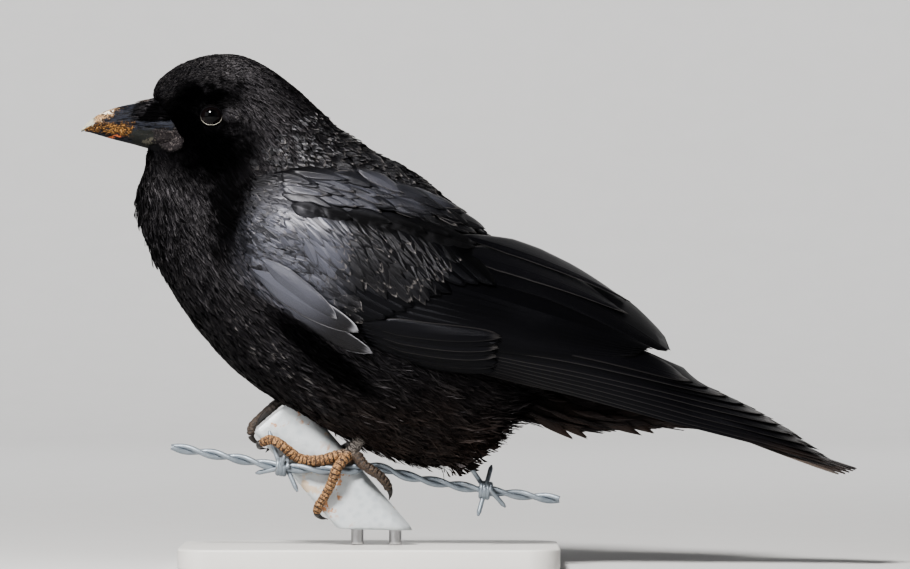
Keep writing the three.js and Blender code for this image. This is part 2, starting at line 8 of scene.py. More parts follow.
# %% Tools and the frame
from functools import partial
import bpy
import numpy as np
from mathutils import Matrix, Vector


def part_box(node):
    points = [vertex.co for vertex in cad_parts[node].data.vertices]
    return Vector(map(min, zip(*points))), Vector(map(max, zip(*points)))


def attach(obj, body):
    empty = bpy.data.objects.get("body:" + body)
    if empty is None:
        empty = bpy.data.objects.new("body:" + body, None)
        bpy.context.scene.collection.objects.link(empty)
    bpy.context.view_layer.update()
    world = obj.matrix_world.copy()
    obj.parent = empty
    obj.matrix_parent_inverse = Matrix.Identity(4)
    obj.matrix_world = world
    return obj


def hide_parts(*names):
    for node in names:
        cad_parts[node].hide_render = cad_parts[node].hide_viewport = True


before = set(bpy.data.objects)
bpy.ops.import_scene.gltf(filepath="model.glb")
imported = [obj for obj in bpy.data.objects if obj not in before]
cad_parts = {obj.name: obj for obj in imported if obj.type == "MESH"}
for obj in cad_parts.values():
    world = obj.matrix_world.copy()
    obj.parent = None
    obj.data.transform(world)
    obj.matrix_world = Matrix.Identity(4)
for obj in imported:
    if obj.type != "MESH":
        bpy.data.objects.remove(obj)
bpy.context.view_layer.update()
MM = 0.001
SIDES = {"left": -1, "right": 1}  # and the sign of y there
dice = np.random.default_rng(1907)

# %% [markdown]
# ## Camera
# The bird is seen from its left, level, through a long lens from far away, so that hardly any
# perspective shows. The middle of the view and its width are places on the bird, so the framing
# stays right if the distance changes.

# %% Camera
VIEW = {"x": 40.5, "z": 134.0, "width": 433.3, "distance": 3000.0}
SENSOR = 36.0

camera = bpy.data.objects.new("camera", bpy.data.cameras.new("camera"))
camera.data.sensor_width = SENSOR
camera.data.lens = SENSOR * VIEW["distance"] / VIEW["width"]
camera.location = [VIEW["x"] * MM, -VIEW["distance"] * MM, VIEW["z"] * MM]
camera.rotation_euler = [np.pi / 2, 0, 0]
bpy.context.scene.collection.objects.link(camera)
bpy.context.scene.camera = camera
print("lens", round(camera.data.lens), "mm")

# %% [markdown]
# ## Smooth curves through a few rows
# A crow has hardly a straight line. A form could be sculpted; here it is a few rows of sizes with
# a smooth curve through them, so one number changes the shape and all that lies on it.


# %% Curves
def spline(rows, t):
    """Catmull-Rom: at t = 0..1 a cubic through equally spaced rows, and straight on past the ends."""
    rows = np.asarray(rows, float)
    last = len(rows) - 1
    ends = [2 * rows[:1] - rows[1:2], rows, 2 * rows[-1:] - rows[-2:-1]]
    rows = np.concatenate(ends)
    t = np.asarray(t, float)
    place = np.clip(t, 0, 1) * last
    i = np.minimum(place.astype(int), last - 1)
    f = (place - i)[..., None]
    a, b, c, d = (rows[i + k] for k in range(4))
    inside = b + 0.5 * f * (c - a + f * (2 * a - 5 * b + 4 * c - d + f * (3 * (b - c) + d - a)))
    beyond = ((t - np.clip(t, 0, 1)) * last)[..., None]
    slope = np.where(beyond < 0, rows[2] - rows[1], rows[-2] - rows[-3])
    return inside + beyond * slope


def unit(vectors):
    """The same directions, each of length one."""
    return vectors / np.maximum(np.linalg.norm(vectors, axis=-1, keepdims=True), 1e-9)


def smooth(low, high, value):
    """0 below low, 1 above high, and an S curve between them."""
    f = np.clip((value - low) / (high - low), 0, 1)
    return f * f * (3 - 2 * f)


print("through 0, 1 and 0:", spline([[0], [1], [0]], np.linspace(0, 1, 5)).ravel().tolist())

# %% [markdown]
# ## Grids and closed shells
# Most pieces are a grid of points that a formula bends into shape. Blender's mesh tools work on
# one face at a time. Arrays handle a million feather points at once: the quads between the points
# of a grid, and a solid from a stack of rings.


# %% Grids, rings and lists of parts
def grid_faces(lines, across, closed=False):
    """The quads of a grid of `lines` lines of `across` points; closed joins each line to a loop."""
    i = np.arange(lines - 1)[:, None] * across
    j = np.arange(across if closed else across - 1)
    k = (j + 1) % across
    return np.stack([i + j, i + k, i + across + k, i + across + j], -1).reshape(-1, 4)


def capped(rings):
    """Rings (count, even number of points, 3) as points and quads of one closed solid.

    Each end is closed by strips between the two halves of its ring. The quads are turned round if
    the solid's volume, the sum of corner . (corner x corner) over its faces, comes out negative.
    """
    count, n = rings.shape[:2]
    j = np.arange(n // 2 - 1)
    lid = np.stack([j, j + 1, n - 2 - j, n - 1 - j], -1)
    faces = np.concatenate([grid_faces(count, n, True), lid[:, ::-1], lid + (count - 1) * n])
    points = rings.reshape(-1, 3)
    a, b, c, d = (points[faces[:, k]] for k in range(4))
    volume = np.einsum("ij,ij", a, np.cross(b, c)) + np.einsum("ij,ij", a, np.cross(c, d))
    return points, faces if volume > 0 else faces[:, ::-1]


def joined(parts):
    """One set of arrays from a list of dicts with points, faces and any per-point arrays."""
    starts = np.cumsum([0] + [len(part["points"]) for part in parts[:-1]])
    whole = {key: np.concatenate([part[key] for part in parts]) for key in parts[0] if key != "faces"}
    whole["faces"] = np.concatenate([part["faces"] + start for part, start in zip(parts, starts)])
    return whole


print("quads of a 3 x 3 grid:", len(grid_faces(3, 3)), "and closed:", len(grid_faces(3, 3, True)))

# %% [markdown]
# ## From arrays to finished pieces
# `foreach_set` copies a whole array into a mesh at once, which face by face would take minutes.
# A finished piece gets its material, the body that it rides on, and the nodes it stands for.


# %% Meshes and pieces
def put_mesh(name, points, faces, **per_point):
    """A smooth mesh object. Per-point arrays two wide become UV maps, and single ones attributes."""
    mesh = bpy.data.meshes.new(name)
    mesh.vertices.add(len(points))
    mesh.vertices.foreach_set("co", (points * MM).astype(np.float32).ravel())
    corners = faces.astype(np.int32).ravel()
    mesh.loops.add(len(corners))
    mesh.loops.foreach_set("vertex_index", corners)
    mesh.polygons.add(len(faces))
    mesh.polygons.foreach_set("loop_start", np.arange(0, len(corners), faces.shape[1], dtype=np.int32))
    mesh.update(calc_edges=True)
    mesh.shade_smooth()
    for key, values in per_point.items():
        if values.ndim == 2:
            layer = mesh.uv_layers.new(name=key)
            layer.uv.foreach_set("vector", values[corners].astype(np.float32).ravel())
        else:
            mark = mesh.attributes.new(key, "FLOAT", "POINT")
            mark.data.foreach_set("value", values.astype(np.float32))
    piece = bpy.data.objects.new(name, mesh)
    bpy.context.scene.collection.objects.link(piece)
    return piece


def finish_piece(piece, material, slot, *nodes):
    """The material, the body it rides on, and the nodes that it stands for. The slot is not used."""
    piece.data.materials.append(material)
    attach(piece, "root")
    if nodes:
        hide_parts(*nodes)
    triangles = sum(len(face.vertices) - 2 for face in piece.data.polygons)
    print(f"{piece.name}: {triangles} triangles")
    return piece


# %% [markdown]
# ## Material tools
# A finish is a small tree of nodes. Writing each link by hand is long, so `node` makes one node,
# sets it up and links its inputs. The others read like plain arithmetic.


# %% Node helpers
def node(tree, kind, inputs=None, **settings):
    """A new node. An input is a value or another node's output; the node itself comes back."""
    made = tree.nodes.new("ShaderNode" + kind)
    for key, value in settings.items():
        setattr(made, key, value)
    for key, value in (inputs or {}).items():
        if isinstance(value, bpy.types.NodeSocket):
            tree.links.new(value, made.inputs[key])
        else:
            made.inputs[key].default_value = value
    return made


def maths(tree, operation, *values):
    return node(tree, "Math", dict(enumerate(values)), operation=operation).outputs[0]


def product(tree, first, *others):
    """All the values multiplied together."""
    for other in others:
        first = maths(tree, "MULTIPLY", first, other)
    return first


def highest(tree, first, *others):
    """The highest of the values, which joins masks without a seam between them."""
    for other in others:
        first = maths(tree, "MAXIMUM", first, other)
    return first


def scaled(tree, value, factor, offset):
    """value * factor + offset."""
    return maths(tree, "MULTIPLY_ADD", value, factor, offset)


def without(tree, mask):
    """1 - mask."""
    return maths(tree, "SUBTRACT", 1.0, mask)


def parts_of(tree, vector):
    """The x, y and z of a vector."""
    return node(tree, "SeparateXYZ", {"Vector": vector}).outputs


def vector_of(tree, x, y, z):
    return node(tree, "CombineXYZ", {"X": x, "Y": y, "Z": z}).outputs["Vector"]


def on_vectors(tree, operation, first, second):
    """Two vectors added, subtracted, multiplied or divided part by part."""
    return node(tree, "VectorMath", {0: first, 1: second}, operation=operation).outputs["Vector"]


def dimmed(tree, color, share):
    return node(tree, "VectorMath", {0: color, "Scale": share}, operation="SCALE").outputs["Vector"]


def noise(tree, place, scale, detail=3.0, roughness=0.55):
    values = {"Vector": place, "Scale": scale, "Detail": detail, "Roughness": roughness}
    return node(tree, "TexNoise", values).outputs["Fac"]


def step(tree, value, low, high, bottom=0.0, top=1.0):
    """A smooth step: bottom where value is under low, top where it is over high."""
    values = {"Value": value, "From Min": low, "From Max": high, "To Min": bottom, "To Max": top}
    return node(tree, "MapRange", values, interpolation_type="SMOOTHSTEP").outputs["Result"]


def blend(tree, share, first, second):
    """A mix of two colours; the share goes from the first to the second."""
    first, second = (
        side if isinstance(side, bpy.types.NodeSocket) else (*side, 1.0) for side in (first, second)
    )
    return node(tree, "Mix", {0: share, 6: first, 7: second}, data_type="RGBA").outputs[2]


def place_of(tree):
    """Where the surface is, in metres in the frame, because every piece's object is at the origin."""
    return node(tree, "TexCoord").outputs["Object"]


def mark_of(tree, name):
    """A value that the mesh carries at each of its points."""
    return node(tree, "Attribute", attribute_name=name).outputs["Fac"]


# %% [markdown]
# ## Groups and finishes
# An effect that several finishes share is a node group, built once and placed in each with its
# own values. Groups only hand over colours, masks and heights; the shader stays in the material,
# and what is the same all over a piece is set on the shader's own sockets.


# %% Groups and finishes
def group(name, inputs, outputs):
    """An empty node group with its named sockets: (name, type) or (name, type, value)."""
    tree = bpy.data.node_groups.new(name, "ShaderNodeTree")
    for direction, sockets in (("INPUT", inputs), ("OUTPUT", outputs)):
        for title, kind, *value in sockets:
            made = tree.interface.new_socket(title, in_out=direction, socket_type="NodeSocket" + kind)
            if value:
                made.default_value = value[0]
    return tree, tree.nodes.new("NodeGroupInput").outputs, tree.nodes.new("NodeGroupOutput")


def hand_over(tree, result, **values):
    """Links values to the group's outputs of the same names."""
    for key, value in values.items():
        tree.links.new(value, result.inputs[key])


def use_group(tree, made, **inputs):
    """Places a node group and gives back its outputs; an underscore in a name is a space."""
    placed = node(tree, "Group", node_tree=made)
    for key, value in inputs.items():
        socket = placed.inputs[key.replace("_", " ")]
        if isinstance(value, bpy.types.NodeSocket):
            tree.links.new(value, socket)
        else:
            socket.default_value = value
    return placed.outputs


def finish(name, build, **constants):
    """A material: build(tree) gives what varies over the surface, constants set the rest.

    A `Height` and its `Depth` in metres go through a Bump node into Normal.
    """
    material = bpy.data.materials.new(name)
    material.use_nodes = True
    tree = material.node_tree
    shader = next(n for n in tree.nodes if n.type == "BSDF_PRINCIPLED")
    varying = build(tree)
    height = varying.pop("Height", None)
    if height is not None:
        bump = {"Height": height, "Distance": varying.pop("Depth"), "Strength": 1.0}
        varying["Normal"] = node(tree, "Bump", bump).outputs["Normal"]
    for key, value in varying.items():
        tree.links.new(value, shader.inputs[key])
    for key, value in constants.items():
        shader.inputs[key.replace("_", " ")].default_value = value
    return material


# %% [markdown]
# ## Where the bird changes tone
# A crow is not one black: the face is sooty, and the belly's loose feathers are worn to brown.
# Light and shade are painted in as well: a cold blue-grey painted sheen on the shoulders, painted
# sheen over the pale worn tips of crown and flank, and painted shade under the wing's front, where
# the neck meets it, and in the fold under the shoulder feathers. It could be painted on each piece.
# Here skin and feathers ask one group for the tone at their own place, so they agree everywhere.
# Each part of the pattern is an oval that fades at its edge.

# %% Ovals and blacks
OVALS = {
    # middle and half size in metres; the tone has faded at `reach` half sizes
    # The first five ovals hold pale worn tips with painted sheen, the next four the velvet face.
    "crown": ((-0.072, 0.000, 0.246), (0.028, 0.03, 0.010), 2.2),
    "forehead": ((-0.0985, 0.000, 0.2290), (0.0060, 0.02, 0.0055), 1.9),
    "nape": ((-0.040, 0.020, 0.215), (0.012, 0.03, 0.014), 2.0),
    "tuft": ((-0.0655, 0.020, 0.2145), (0.003, 0.02, 0.002), 2.2),
    "flank": ((-0.043, 0.030, 0.0570), (0.016, 0.03, 0.006), 1.9),
    "lore": ((-0.088, 0.012, 0.208), (0.007, 0.02, 0.008), 2.6),
    "brow": ((-0.079, 0.016, 0.223), (0.007, 0.02, 0.003), 3.6),
    "cheek": ((-0.073, 0.020, 0.197), (0.008, 0.03, 0.007), 3.6),
    "nostril": ((-0.101, 0.006, 0.2145), (0.006, 0.012, 0.0025), 1.8),
    # The next three ovals are painted shade: where the neck meets the wing, the wing's shadow on the breast,
    # and the fold under the shoulder feathers.
    "collar": ((-0.0670, 0.034, 0.174), (0.0045, 0.03, 0.018), 2.3),
    "wing_shadow": ((-0.022, 0.036, 0.0845), (0.017, 0.020, 0.0055), 1.9),
    "scapular_shade": ((0.008, 0.044, 0.1632), (0.030, 0.024, 0.0024), 2.1),
    # The last two ovals hold the painted blue-grey sheen of the wing's front and the shoulder.
    "chest": ((-0.035, 0.045, 0.146), (0.013, 0.03, 0.016), 2.7),
    "shoulder": ((0.000, 0.036, 0.1765), (0.025, 0.03, 0.0065), 2.3),
}
BLACKS = {
    "plain": (0.0030, 0.0029, 0.0037),
    "brown": (0.0320, 0.0215, 0.0170),
    # Pale worn tips, partly painted sheen:
    "grey_and_sheen": (0.0125, 0.0120, 0.0140),
    # The blackest tone, for the velvet face and for painted shade:
    "velvet_and_shade": (0.0010, 0.0010, 0.0012),
    "painted_sheen": (0.0580, 0.0600, 0.0740),
# A painted blue-grey sheen for the shoulders:
}


def near(tree, place, middle, size, reach):
    """1 within an oval of that half size round the middle, and 0 from `reach` times as far."""
    away = on_vectors(tree, "DIVIDE", on_vectors(tree, "SUBTRACT", place, middle), size)
    far = node(tree, "VectorMath", {0: away}, operation="LENGTH").outputs["Value"]
    return step(tree, far, reach, 1.0)


def in_oval(tree, place, name):
    return near(tree, place, *OVALS[name])


def mirrored(tree, place):
    """The place with y made positive, so that both sides of the bird get the same pattern."""
    x, y, z = parts_of(tree, place)
    return vector_of(tree, x, maths(tree, "ABSOLUTE", y), z)


print(len(OVALS), "ovals and", len(BLACKS), "blacks")


# %% Tones shared by skin and coat
def belly_brown(tree, place, half):
    """Worn brown in patches, low down; towards the tail only in the middle and under a line that
    falls."""
    x, y, z = parts_of(tree, half)
    low = step(tree, z, 0.095, 0.050)
    ahead = step(tree, x, 0.085, 0.04)
    between_wings = highest(tree, ahead, step(tree, y, 0.024, 0.018))
    shelter = highest(tree, ahead, step(tree, scaled(tree, x, 0.29, z), 0.1165, 0.1105))
    patches = step(tree, noise(tree, place, 60.0, 4.0), 0.25, 0.7, 0.3, 1.0)
    return product(tree, low, between_wings, shelter, patches)


def worn_grey_and_sheen(tree, place, half, forehead):
    """Pale worn tips on crown and forehead, faintly on the nape and by the ear, partly painted sheen,
    and in clumps on the flank, where they are painted glints.
    """
    x, y, z = parts_of(tree, half)
    nape = product(tree, in_oval(tree, half, "nape"), 0.10)
    along_flank = vector_of(tree, x, y, scaled(tree, x, 0.92, z))
    # Painted glints in clumps on the flank.
    clumps = step(tree, noise(tree, place, 150.0, 2.0), 0.45, 0.56, 0.0, 1.6)
    flank_glint_clumps = product(tree, in_oval(tree, along_flank, "flank"), clumps)
    return highest(tree, in_oval(tree, half, "crown"), forehead, nape, in_oval(tree, half, "tuft"), flank_glint_clumps)


def velvet_and_painted_shade(tree, place, half, forehead):
    """The blackest parts: the face's velvet black with a wavering edge, and painted shade: the wing's
    shadow on the breast below its front, where the neck meets that, and blots in the fold under the
    shoulder feathers."""
    x, y, z = parts_of(tree, half)
    drift = scaled(tree, noise(tree, place, 170.0, 3.0), 0.022, -0.011)
    stray = on_vectors(tree, "ADD", half, vector_of(tree, drift, 0.0, drift))
    lore, brow, cheek, nostril, collar = (
        in_oval(tree, stray, name) for name in ("lore", "brow", "cheek", "nostril", "collar")
    )
    above = product(tree, brow, without(tree, forehead))
    face = highest(tree, lore, product(tree, nostril, 0.8), above, cheek)
    # Painted shadow that the wing's front casts on the breast, below the alula's edge.
    under_wing = in_oval(tree, vector_of(tree, x, y, scaled(tree, x, 0.78, z)), "wing_shadow")
    wing_shadow = product(tree, under_wing, 0.85, step(tree, scaled(tree, x, 0.62, z), 0.0985, 0.0955))
    # Painted shade: blots in the fold under the shoulder feathers.
    level = scaled(tree, x, 0.207, z)
    blots = step(tree, noise(tree, vector_of(tree, x, 0.0, level), 110.0, 2.0), 0.40, 0.54, 0.15, 0.75)
    painted_fold_shade = product(tree, in_oval(tree, vector_of(tree, x, y, level), "scapular_shade"), blots)
    # Painted shade where the neck meets the wing, at three quarters strength.
    return highest(tree, face, wing_shadow, product(tree, collar, 0.75), painted_fold_shade)


def shoulder_painted_sheen(tree, half, velvet_and_shade):
    """A painted blue-grey sheen: the front of the wing, and half as strong on the shoulder above it."""
    x, y, z = parts_of(tree, half)
    on_wing_side = step(tree, y, 0.018, 0.028)
    above_wing_shadow = step(tree, scaled(tree, x, 0.62, z), 0.0955, 0.0985)
    ovals = highest(tree, in_oval(tree, half, "chest"), product(tree, in_oval(tree, half, "shoulder"), 0.50))
    return product(tree, ovals, on_wing_side, above_wing_shadow, without(tree, velvet_and_shade))


def tone_group():
    tree, given, result = group(
        "crow_tones",
        [("Place", "Vector")],
        [("Color", "Color"), ("Bloom", "Float"), ("Velvet", "Float"), ("Grey", "Float")],
    )
    place = given["Place"]
    half = mirrored(tree, place)
    forehead = in_oval(tree, half, "forehead")
    brown = belly_brown(tree, place, half)
    grey_and_sheen = worn_grey_and_sheen(tree, place, half, forehead)
    velvet_and_shade = velvet_and_painted_shade(tree, place, half, forehead)
    painted_sheen = shoulder_painted_sheen(tree, half, velvet_and_shade)
    # Brown wear, then pale tips with painted sheen, velvet black and painted shade, and last the painted
    # shoulder sheen.
    worn = blend(tree, brown, BLACKS["plain"], BLACKS["brown"])
    with_pale_patches = blend(tree, product(tree, grey_and_sheen, 0.9), worn, BLACKS["grey_and_sheen"])
    sooty_and_shaded = blend(tree, product(tree, velvet_and_shade, 0.9), with_pale_patches, BLACKS["velvet_and_shade"])
    color = blend(tree, painted_sheen, sooty_and_shaded, BLACKS["painted_sheen"])
    hand_over(tree, result, Color=color, Bloom=painted_sheen, Velvet=velvet_and_shade, Grey=grey_and_sheen)
    return tree


crow_tones = tone_group()

# %% [markdown]
# ## Barbs, worn edges and dust
# A feather's vane is combed in fine slanting barbs on both sides of a shaft. Modelled barbs would
# take millions of faces, so they are a bump, drawn in the feather's own map, whose coordinates
# are the distances across and along it. A second group scatters freckles and stains at any scale.


# %% Groups for barbs and freckles
BARB_PITCH = 0.55  # between barb clumps, in millimetres
SHAFT = {"edge": 0.35, "crest": 0.12}  # from a feather's middle line, in millimetres
MAP_SCALE = 0.01  # feather map units in a millimetre


def barb_group():
    """Clumps are sine waves of (along - slant * |across|), and the shaft is a ridge over them."""
    tree, given, result = group(
        "feather_barbs",
        [("Slant", "Float", 1.5), ("Split", "Float", 0.5)],
        [("Line", "Float"), ("Height", "Float")],
    )
    where = node(tree, "UVMap", uv_map="Feather").outputs["UV"]
    across, along, _ = parts_of(tree, where)
    side = maths(tree, "ABSOLUTE", across)
    drift = product(tree, noise(tree, where, 90.0, 2.0), given["Split"], 0.02)
    lane = maths(tree, "SUBTRACT", along, product(tree, side, given["Slant"]))
    turn = 2 * np.pi / (BARB_PITCH * MAP_SCALE)
    wave = maths(tree, "SINE", product(tree, maths(tree, "ADD", lane, drift), turn))
    line = step(tree, wave, -0.9, 0.6)
    shaft = step(tree, side, SHAFT["edge"] * MAP_SCALE, SHAFT["crest"] * MAP_SCALE)
    hand_over(tree, result, Line=line, Height=highest(tree, product(tree, line, 0.5), shaft))
    return tree


def freckle_group():
    """A mask where coarse plus a little fine noise stands over an edge that Cover lowers."""
    tree, given, result = group(
        "freckles",
        [("Place", "Vector"), ("Scale", "Float", 200.0), ("Cover", "Float", 0.3)],
        [("Mask", "Float"), ("Grain", "Float")],
    )
    coarse = noise(tree, given["Place"], given["Scale"], 5.0, 0.65)
    fine = noise(tree, given["Place"], product(tree, given["Scale"], 5.0), 4.0)
    mixed = scaled(tree, fine, 0.25, coarse)
    edge = scaled(tree, given["Cover"], -0.5, 0.95)
    over = maths(tree, "SUBTRACT", mixed, edge)
    hand_over(tree, result, Mask=step(tree, over, 0.0, 0.05), Grain=fine)
    return tree


feather_barbs = barb_group()
freckles = freckle_group()


def freckled(tree, place, scale, cover):
    return use_group(tree, freckles, Place=place, Scale=scale, Cover=cover)["Mask"]


print("node groups:", [tree.name for tree in bpy.data.node_groups])

# %% [markdown]
# ## Feather finishes
# Black feathers are seen mostly by their gloss. Soft ones scatter light and firm ones are smooth
# plates with a cold shine. Both carry painted glints along their worn rims and tips, faint on soft
# ones and bright on firm ones. One recipe with different values keeps them a family. In the velvet
# black and the painted shade it turns rough and partly metallic, which takes away the grey haze
# that any rough black surface has.


# %% Feather materials
# Colours of the painted glints along worn feather rims.
GLINT_RIMS = {"brown": (0.15, 0.14, 0.135), "silver": (0.27, 0.27, 0.29)}
OLD_TIP = (0.085, 0.066, 0.054)
# Velvet here means the velvet-black face and the painted shade alike.
TRAP = 0.9  # the metallic share where the tone is all velvet


def feather_finish(name, rough, rim, depth, split, worn="brown", **constants):
    """rough is that of a dull feather, rim how strongly a painted glint pales a worn edge, worn picks
    that glint's colour, depth is the barbs' height in metres, and split how raggedly they run. A
    feather's own tone is 0 to 1, and up to 2 if old."""

    def build(tree):
        tones = use_group(tree, crow_tones, Place=place_of(tree))
        barbs = use_group(tree, feather_barbs, Split=split)
        mark, edge = mark_of(tree, "tone"), mark_of(tree, "edge")
        own = maths(tree, "MINIMUM", mark, 1.0)
        dull = without(tree, tones["Velvet"])
        combed = step(tree, barbs["Line"], 0.0, 1.0, 0.5, 1.1)
        shade = product(tree, scaled(tree, own, 1.4, 0.25), combed)
        # Painted shade: thin dark lines along the rims where the painted shoulder sheen lies.
        painted_edge_shade = product(tree, step(tree, edge, 0.80, 0.96), tones["Bloom"], -0.60)
        base = dimmed(tree, tones["Color"], scaled(tree, painted_edge_shade, shade, shade))
        # Painted glint: a pale line along the worn rims of feathers whose own tone is high, less where the
        # painted sheen lies, more on grey tips, none in velvet black or painted shade.
        clean = scaled(tree, tones["Bloom"], -0.7 * rim, rim)
        glint_strength = scaled(tree, tones["Grey"], 0.35, clean)
        chosen = step(tree, own, 0.45, 0.95)
        painted_glint = product(tree, step(tree, edge, 0.84, 1.0), chosen, glint_strength, dull)
        faded = product(tree, step(tree, mark, 1.0, 2.0), dull)
        color = blend(tree, painted_glint, blend(tree, faded, base, OLD_TIP), GLINT_RIMS[worn])
        streak = scaled(tree, barbs["Line"], -0.08, rough)
        satin = scaled(tree, own, -0.10, streak)
        bright = scaled(tree, tones["Bloom"], -0.06, satin)
        return {
            "Base Color": color,
            "Roughness": scaled(tree, tones["Velvet"], 0.40, bright),
            "Metallic": product(tree, tones["Velvet"], TRAP),
            "Height": barbs["Height"],
            "Depth": depth,
        }

    return finish(name, build, **constants)


COLD_SHINE = {"Specular_IOR_Level": 0.36, "Specular_Tint": (0.95, 0.94, 1.0, 1.0)}
soft_feather = feather_finish(
    "soft_feather", 0.53, 0.10, 0.00010, 0.9,
    Specular_IOR_Level=0.14, Specular_Tint=(1.0, 0.94, 1.0, 1.0),
)
vane_feather = feather_finish(
    "vane_feather", 0.46, 0.32, 0.00006, 0.3,
    Specular_IOR_Level=0.15, Specular_Tint=(0.88, 0.90, 1.0, 1.0),
)
firm_feather = feather_finish("firm_feather", 0.46, 0.80, 0.00008, 0.5, **COLD_SHINE)
rimmed_feather = feather_finish("rimmed_feather", 0.46, 1.1, 0.00008, 0.5, "silver", **COLD_SHINE)
print("finishes:", [material.name for material in bpy.data.materials])

# %% [markdown]
# ## The skin's finish
# Between the feathers one sees down, as black as they are. Only at the gape, where the horn ends,
# is the skin bare and crusted. An oval in the skin's finish does it without another piece, in the
# two colours of the crust on the bill beside it.

# %% Skin material
GAPE = ((-0.0940, 0.009, 0.2030), (0.0045, 0.02, 0.0040), 1.7)
GAPE_DIRT = (0.0170, 0.0145, 0.0155)
GAPE_CRUST = (0.088, 0.077, 0.075)


def skin_build(tree):
    """Dark down everywhere, and crusted bare skin at the gape."""
    place = place_of(tree)
    tones = use_group(tree, crow_tones, Place=place)
    down = noise(tree, place, 900.0, 3.0)
    base = dimmed(tree, tones["Color"], step(tree, down, 0.2, 0.8, 0.3, 0.9))
    gape = near(tree, mirrored(tree, place), *GAPE)
    crust = product(tree, freckled(tree, place, 700.0, 0.58), 0.75)
    bare = blend(tree, crust, GAPE_DIRT, GAPE_CRUST)
    trap = product(tree, without(tree, gape), tones["Velvet"], TRAP)
    color = blend(tree, gape, base, bare)
    return {"Base Color": color, "Metallic": trap, "Height": down, "Depth": 0.0006}


skin_finish = finish("crow_skin", skin_build, Roughness=0.85, Specular_IOR_Level=0.1)
print("skin finish:", len(skin_finish.node_tree.nodes), "nodes")

# %% [markdown]
# ## The body's shape
# Head, neck and trunk are one swept form. Each row is a ring that stands on the middle plane:
# where its top is, where its bottom is, and half its width. The surface is a function of t, the
# share of the way from face to vent, and of turn, the angle round the ring from its top. Feathers
# ask it where they are, at any grid of (t, turn).

# %% Body rings
BODY = [
    # top x, top z, bottom x, bottom z, half width
    [-103.8, 221.6, -106.0, 197.8, 7.5],
    [-100.5, 230.5, -106.3, 193.5, 10.5],
    [-90.5, 238.3, -107.2, 188.0, 13.0],
    [-76.0, 243.0, -109.2, 183.0, 15.5],
    [-61.0, 242.5, -110.8, 177.5, 18.0],
    [-46.5, 235.5, -110.2, 169.0, 20.5],
    [-31.5, 223.5, -106.5, 157.0, 24.5],
    [-16.5, 209.3, -98.5, 139.5, 31.5],
    [-0.5, 198.5, -86.5, 119.5, 39.5],
    [18.0, 188.5, -68.5, 98.0, 45.0],
    [38.0, 173.0, -46.0, 80.5, 47.5],
    [57.0, 156.5, -20.5, 66.0, 46.0],
    [74.0, 143.5, 5.0, 55.0, 42.0],
    [88.0, 131.0, 26.0, 50.5, 35.5],
    [99.0, 118.5, 42.5, 57.5, 27.0],
    [105.5, 106.0, 51.0, 70.0, 16.0],
]
# Coverts under the tail, as rings of the same kind.
UNDERTAIL = [
    [62.0, 98.0, 50.0, 72.5, 19.0],
    [80.0, 94.0, 71.0, 68.8, 19.5],
    [101.0, 86.5, 95.0, 64.8, 17.0],
    [123.0, 79.5, 118.0, 65.0, 13.0],
    [139.0, 74.5, 136.0, 65.8, 8.5],
    [151.5, 70.0, 151.0, 66.5, 3.0],
]
WIDEST = 0.47  # level of a ring's widest place, from its bottom
LORE = {"x": -99.5, "z": 205.0, "reach": 12.0, "depth": 0.50}


def body(rows, t, turn, grow=0.0):
    """Two half ellipses that meet at the widest level, narrowed round the root of the bill.

    level = widest * height + cos(turn) * (reach * height + grow), measured from the bottom point
    towards the top point; y = sin(turn) * (half + grow) * (1 - depth * exp(-(distance / reach)^2)).
    """
    top_x, top_z, low_x, low_z, half = np.moveaxis(spline(rows, t), -1, 0)
    height = np.hypot(top_x - low_x, top_z - low_z)
    rise = np.cos(turn)
    reach = np.where(rise > 0, 1 - WIDEST, WIDEST)
    level = (WIDEST * height + rise * (reach * height + grow)) / height
    x = low_x + (top_x - low_x) * level
    z = low_z + (top_z - low_z) * level
    away = np.hypot(x - LORE["x"], z - LORE["z"]) / LORE["reach"]
    y = np.sin(turn) * (half + grow) * (1 - LORE["depth"] * np.exp(-(away**2)))
    return np.stack([x, y, z], -1)


def slopes(surface, a, b, e=0.002):
    """A surface's two tangents at (a, b), by central differences, and its outward normal."""
    along = (surface(a + e, b) - surface(a - e, b)) / (2 * e)
    across = (surface(a, b + e) - surface(a, b - e)) / (2 * e)
    return along, across, unit(np.cross(along, across))


print("the body's top from", body(BODY, 0.0, 0.0).round(1), "to", body(BODY, 1.0, 0.0).round(1))

# %% [markdown]
# ## The folded wing's shape
# The folded wing is one curved sheet from shoulder to wing tip. Each row is a line across it, with
# how far out it stands at three places. Feathers are laid out flat, as seen from the side, and
# `on_wing` finds how far out each of their points stands: it looks for the row line that passes
# through the point, by halving.

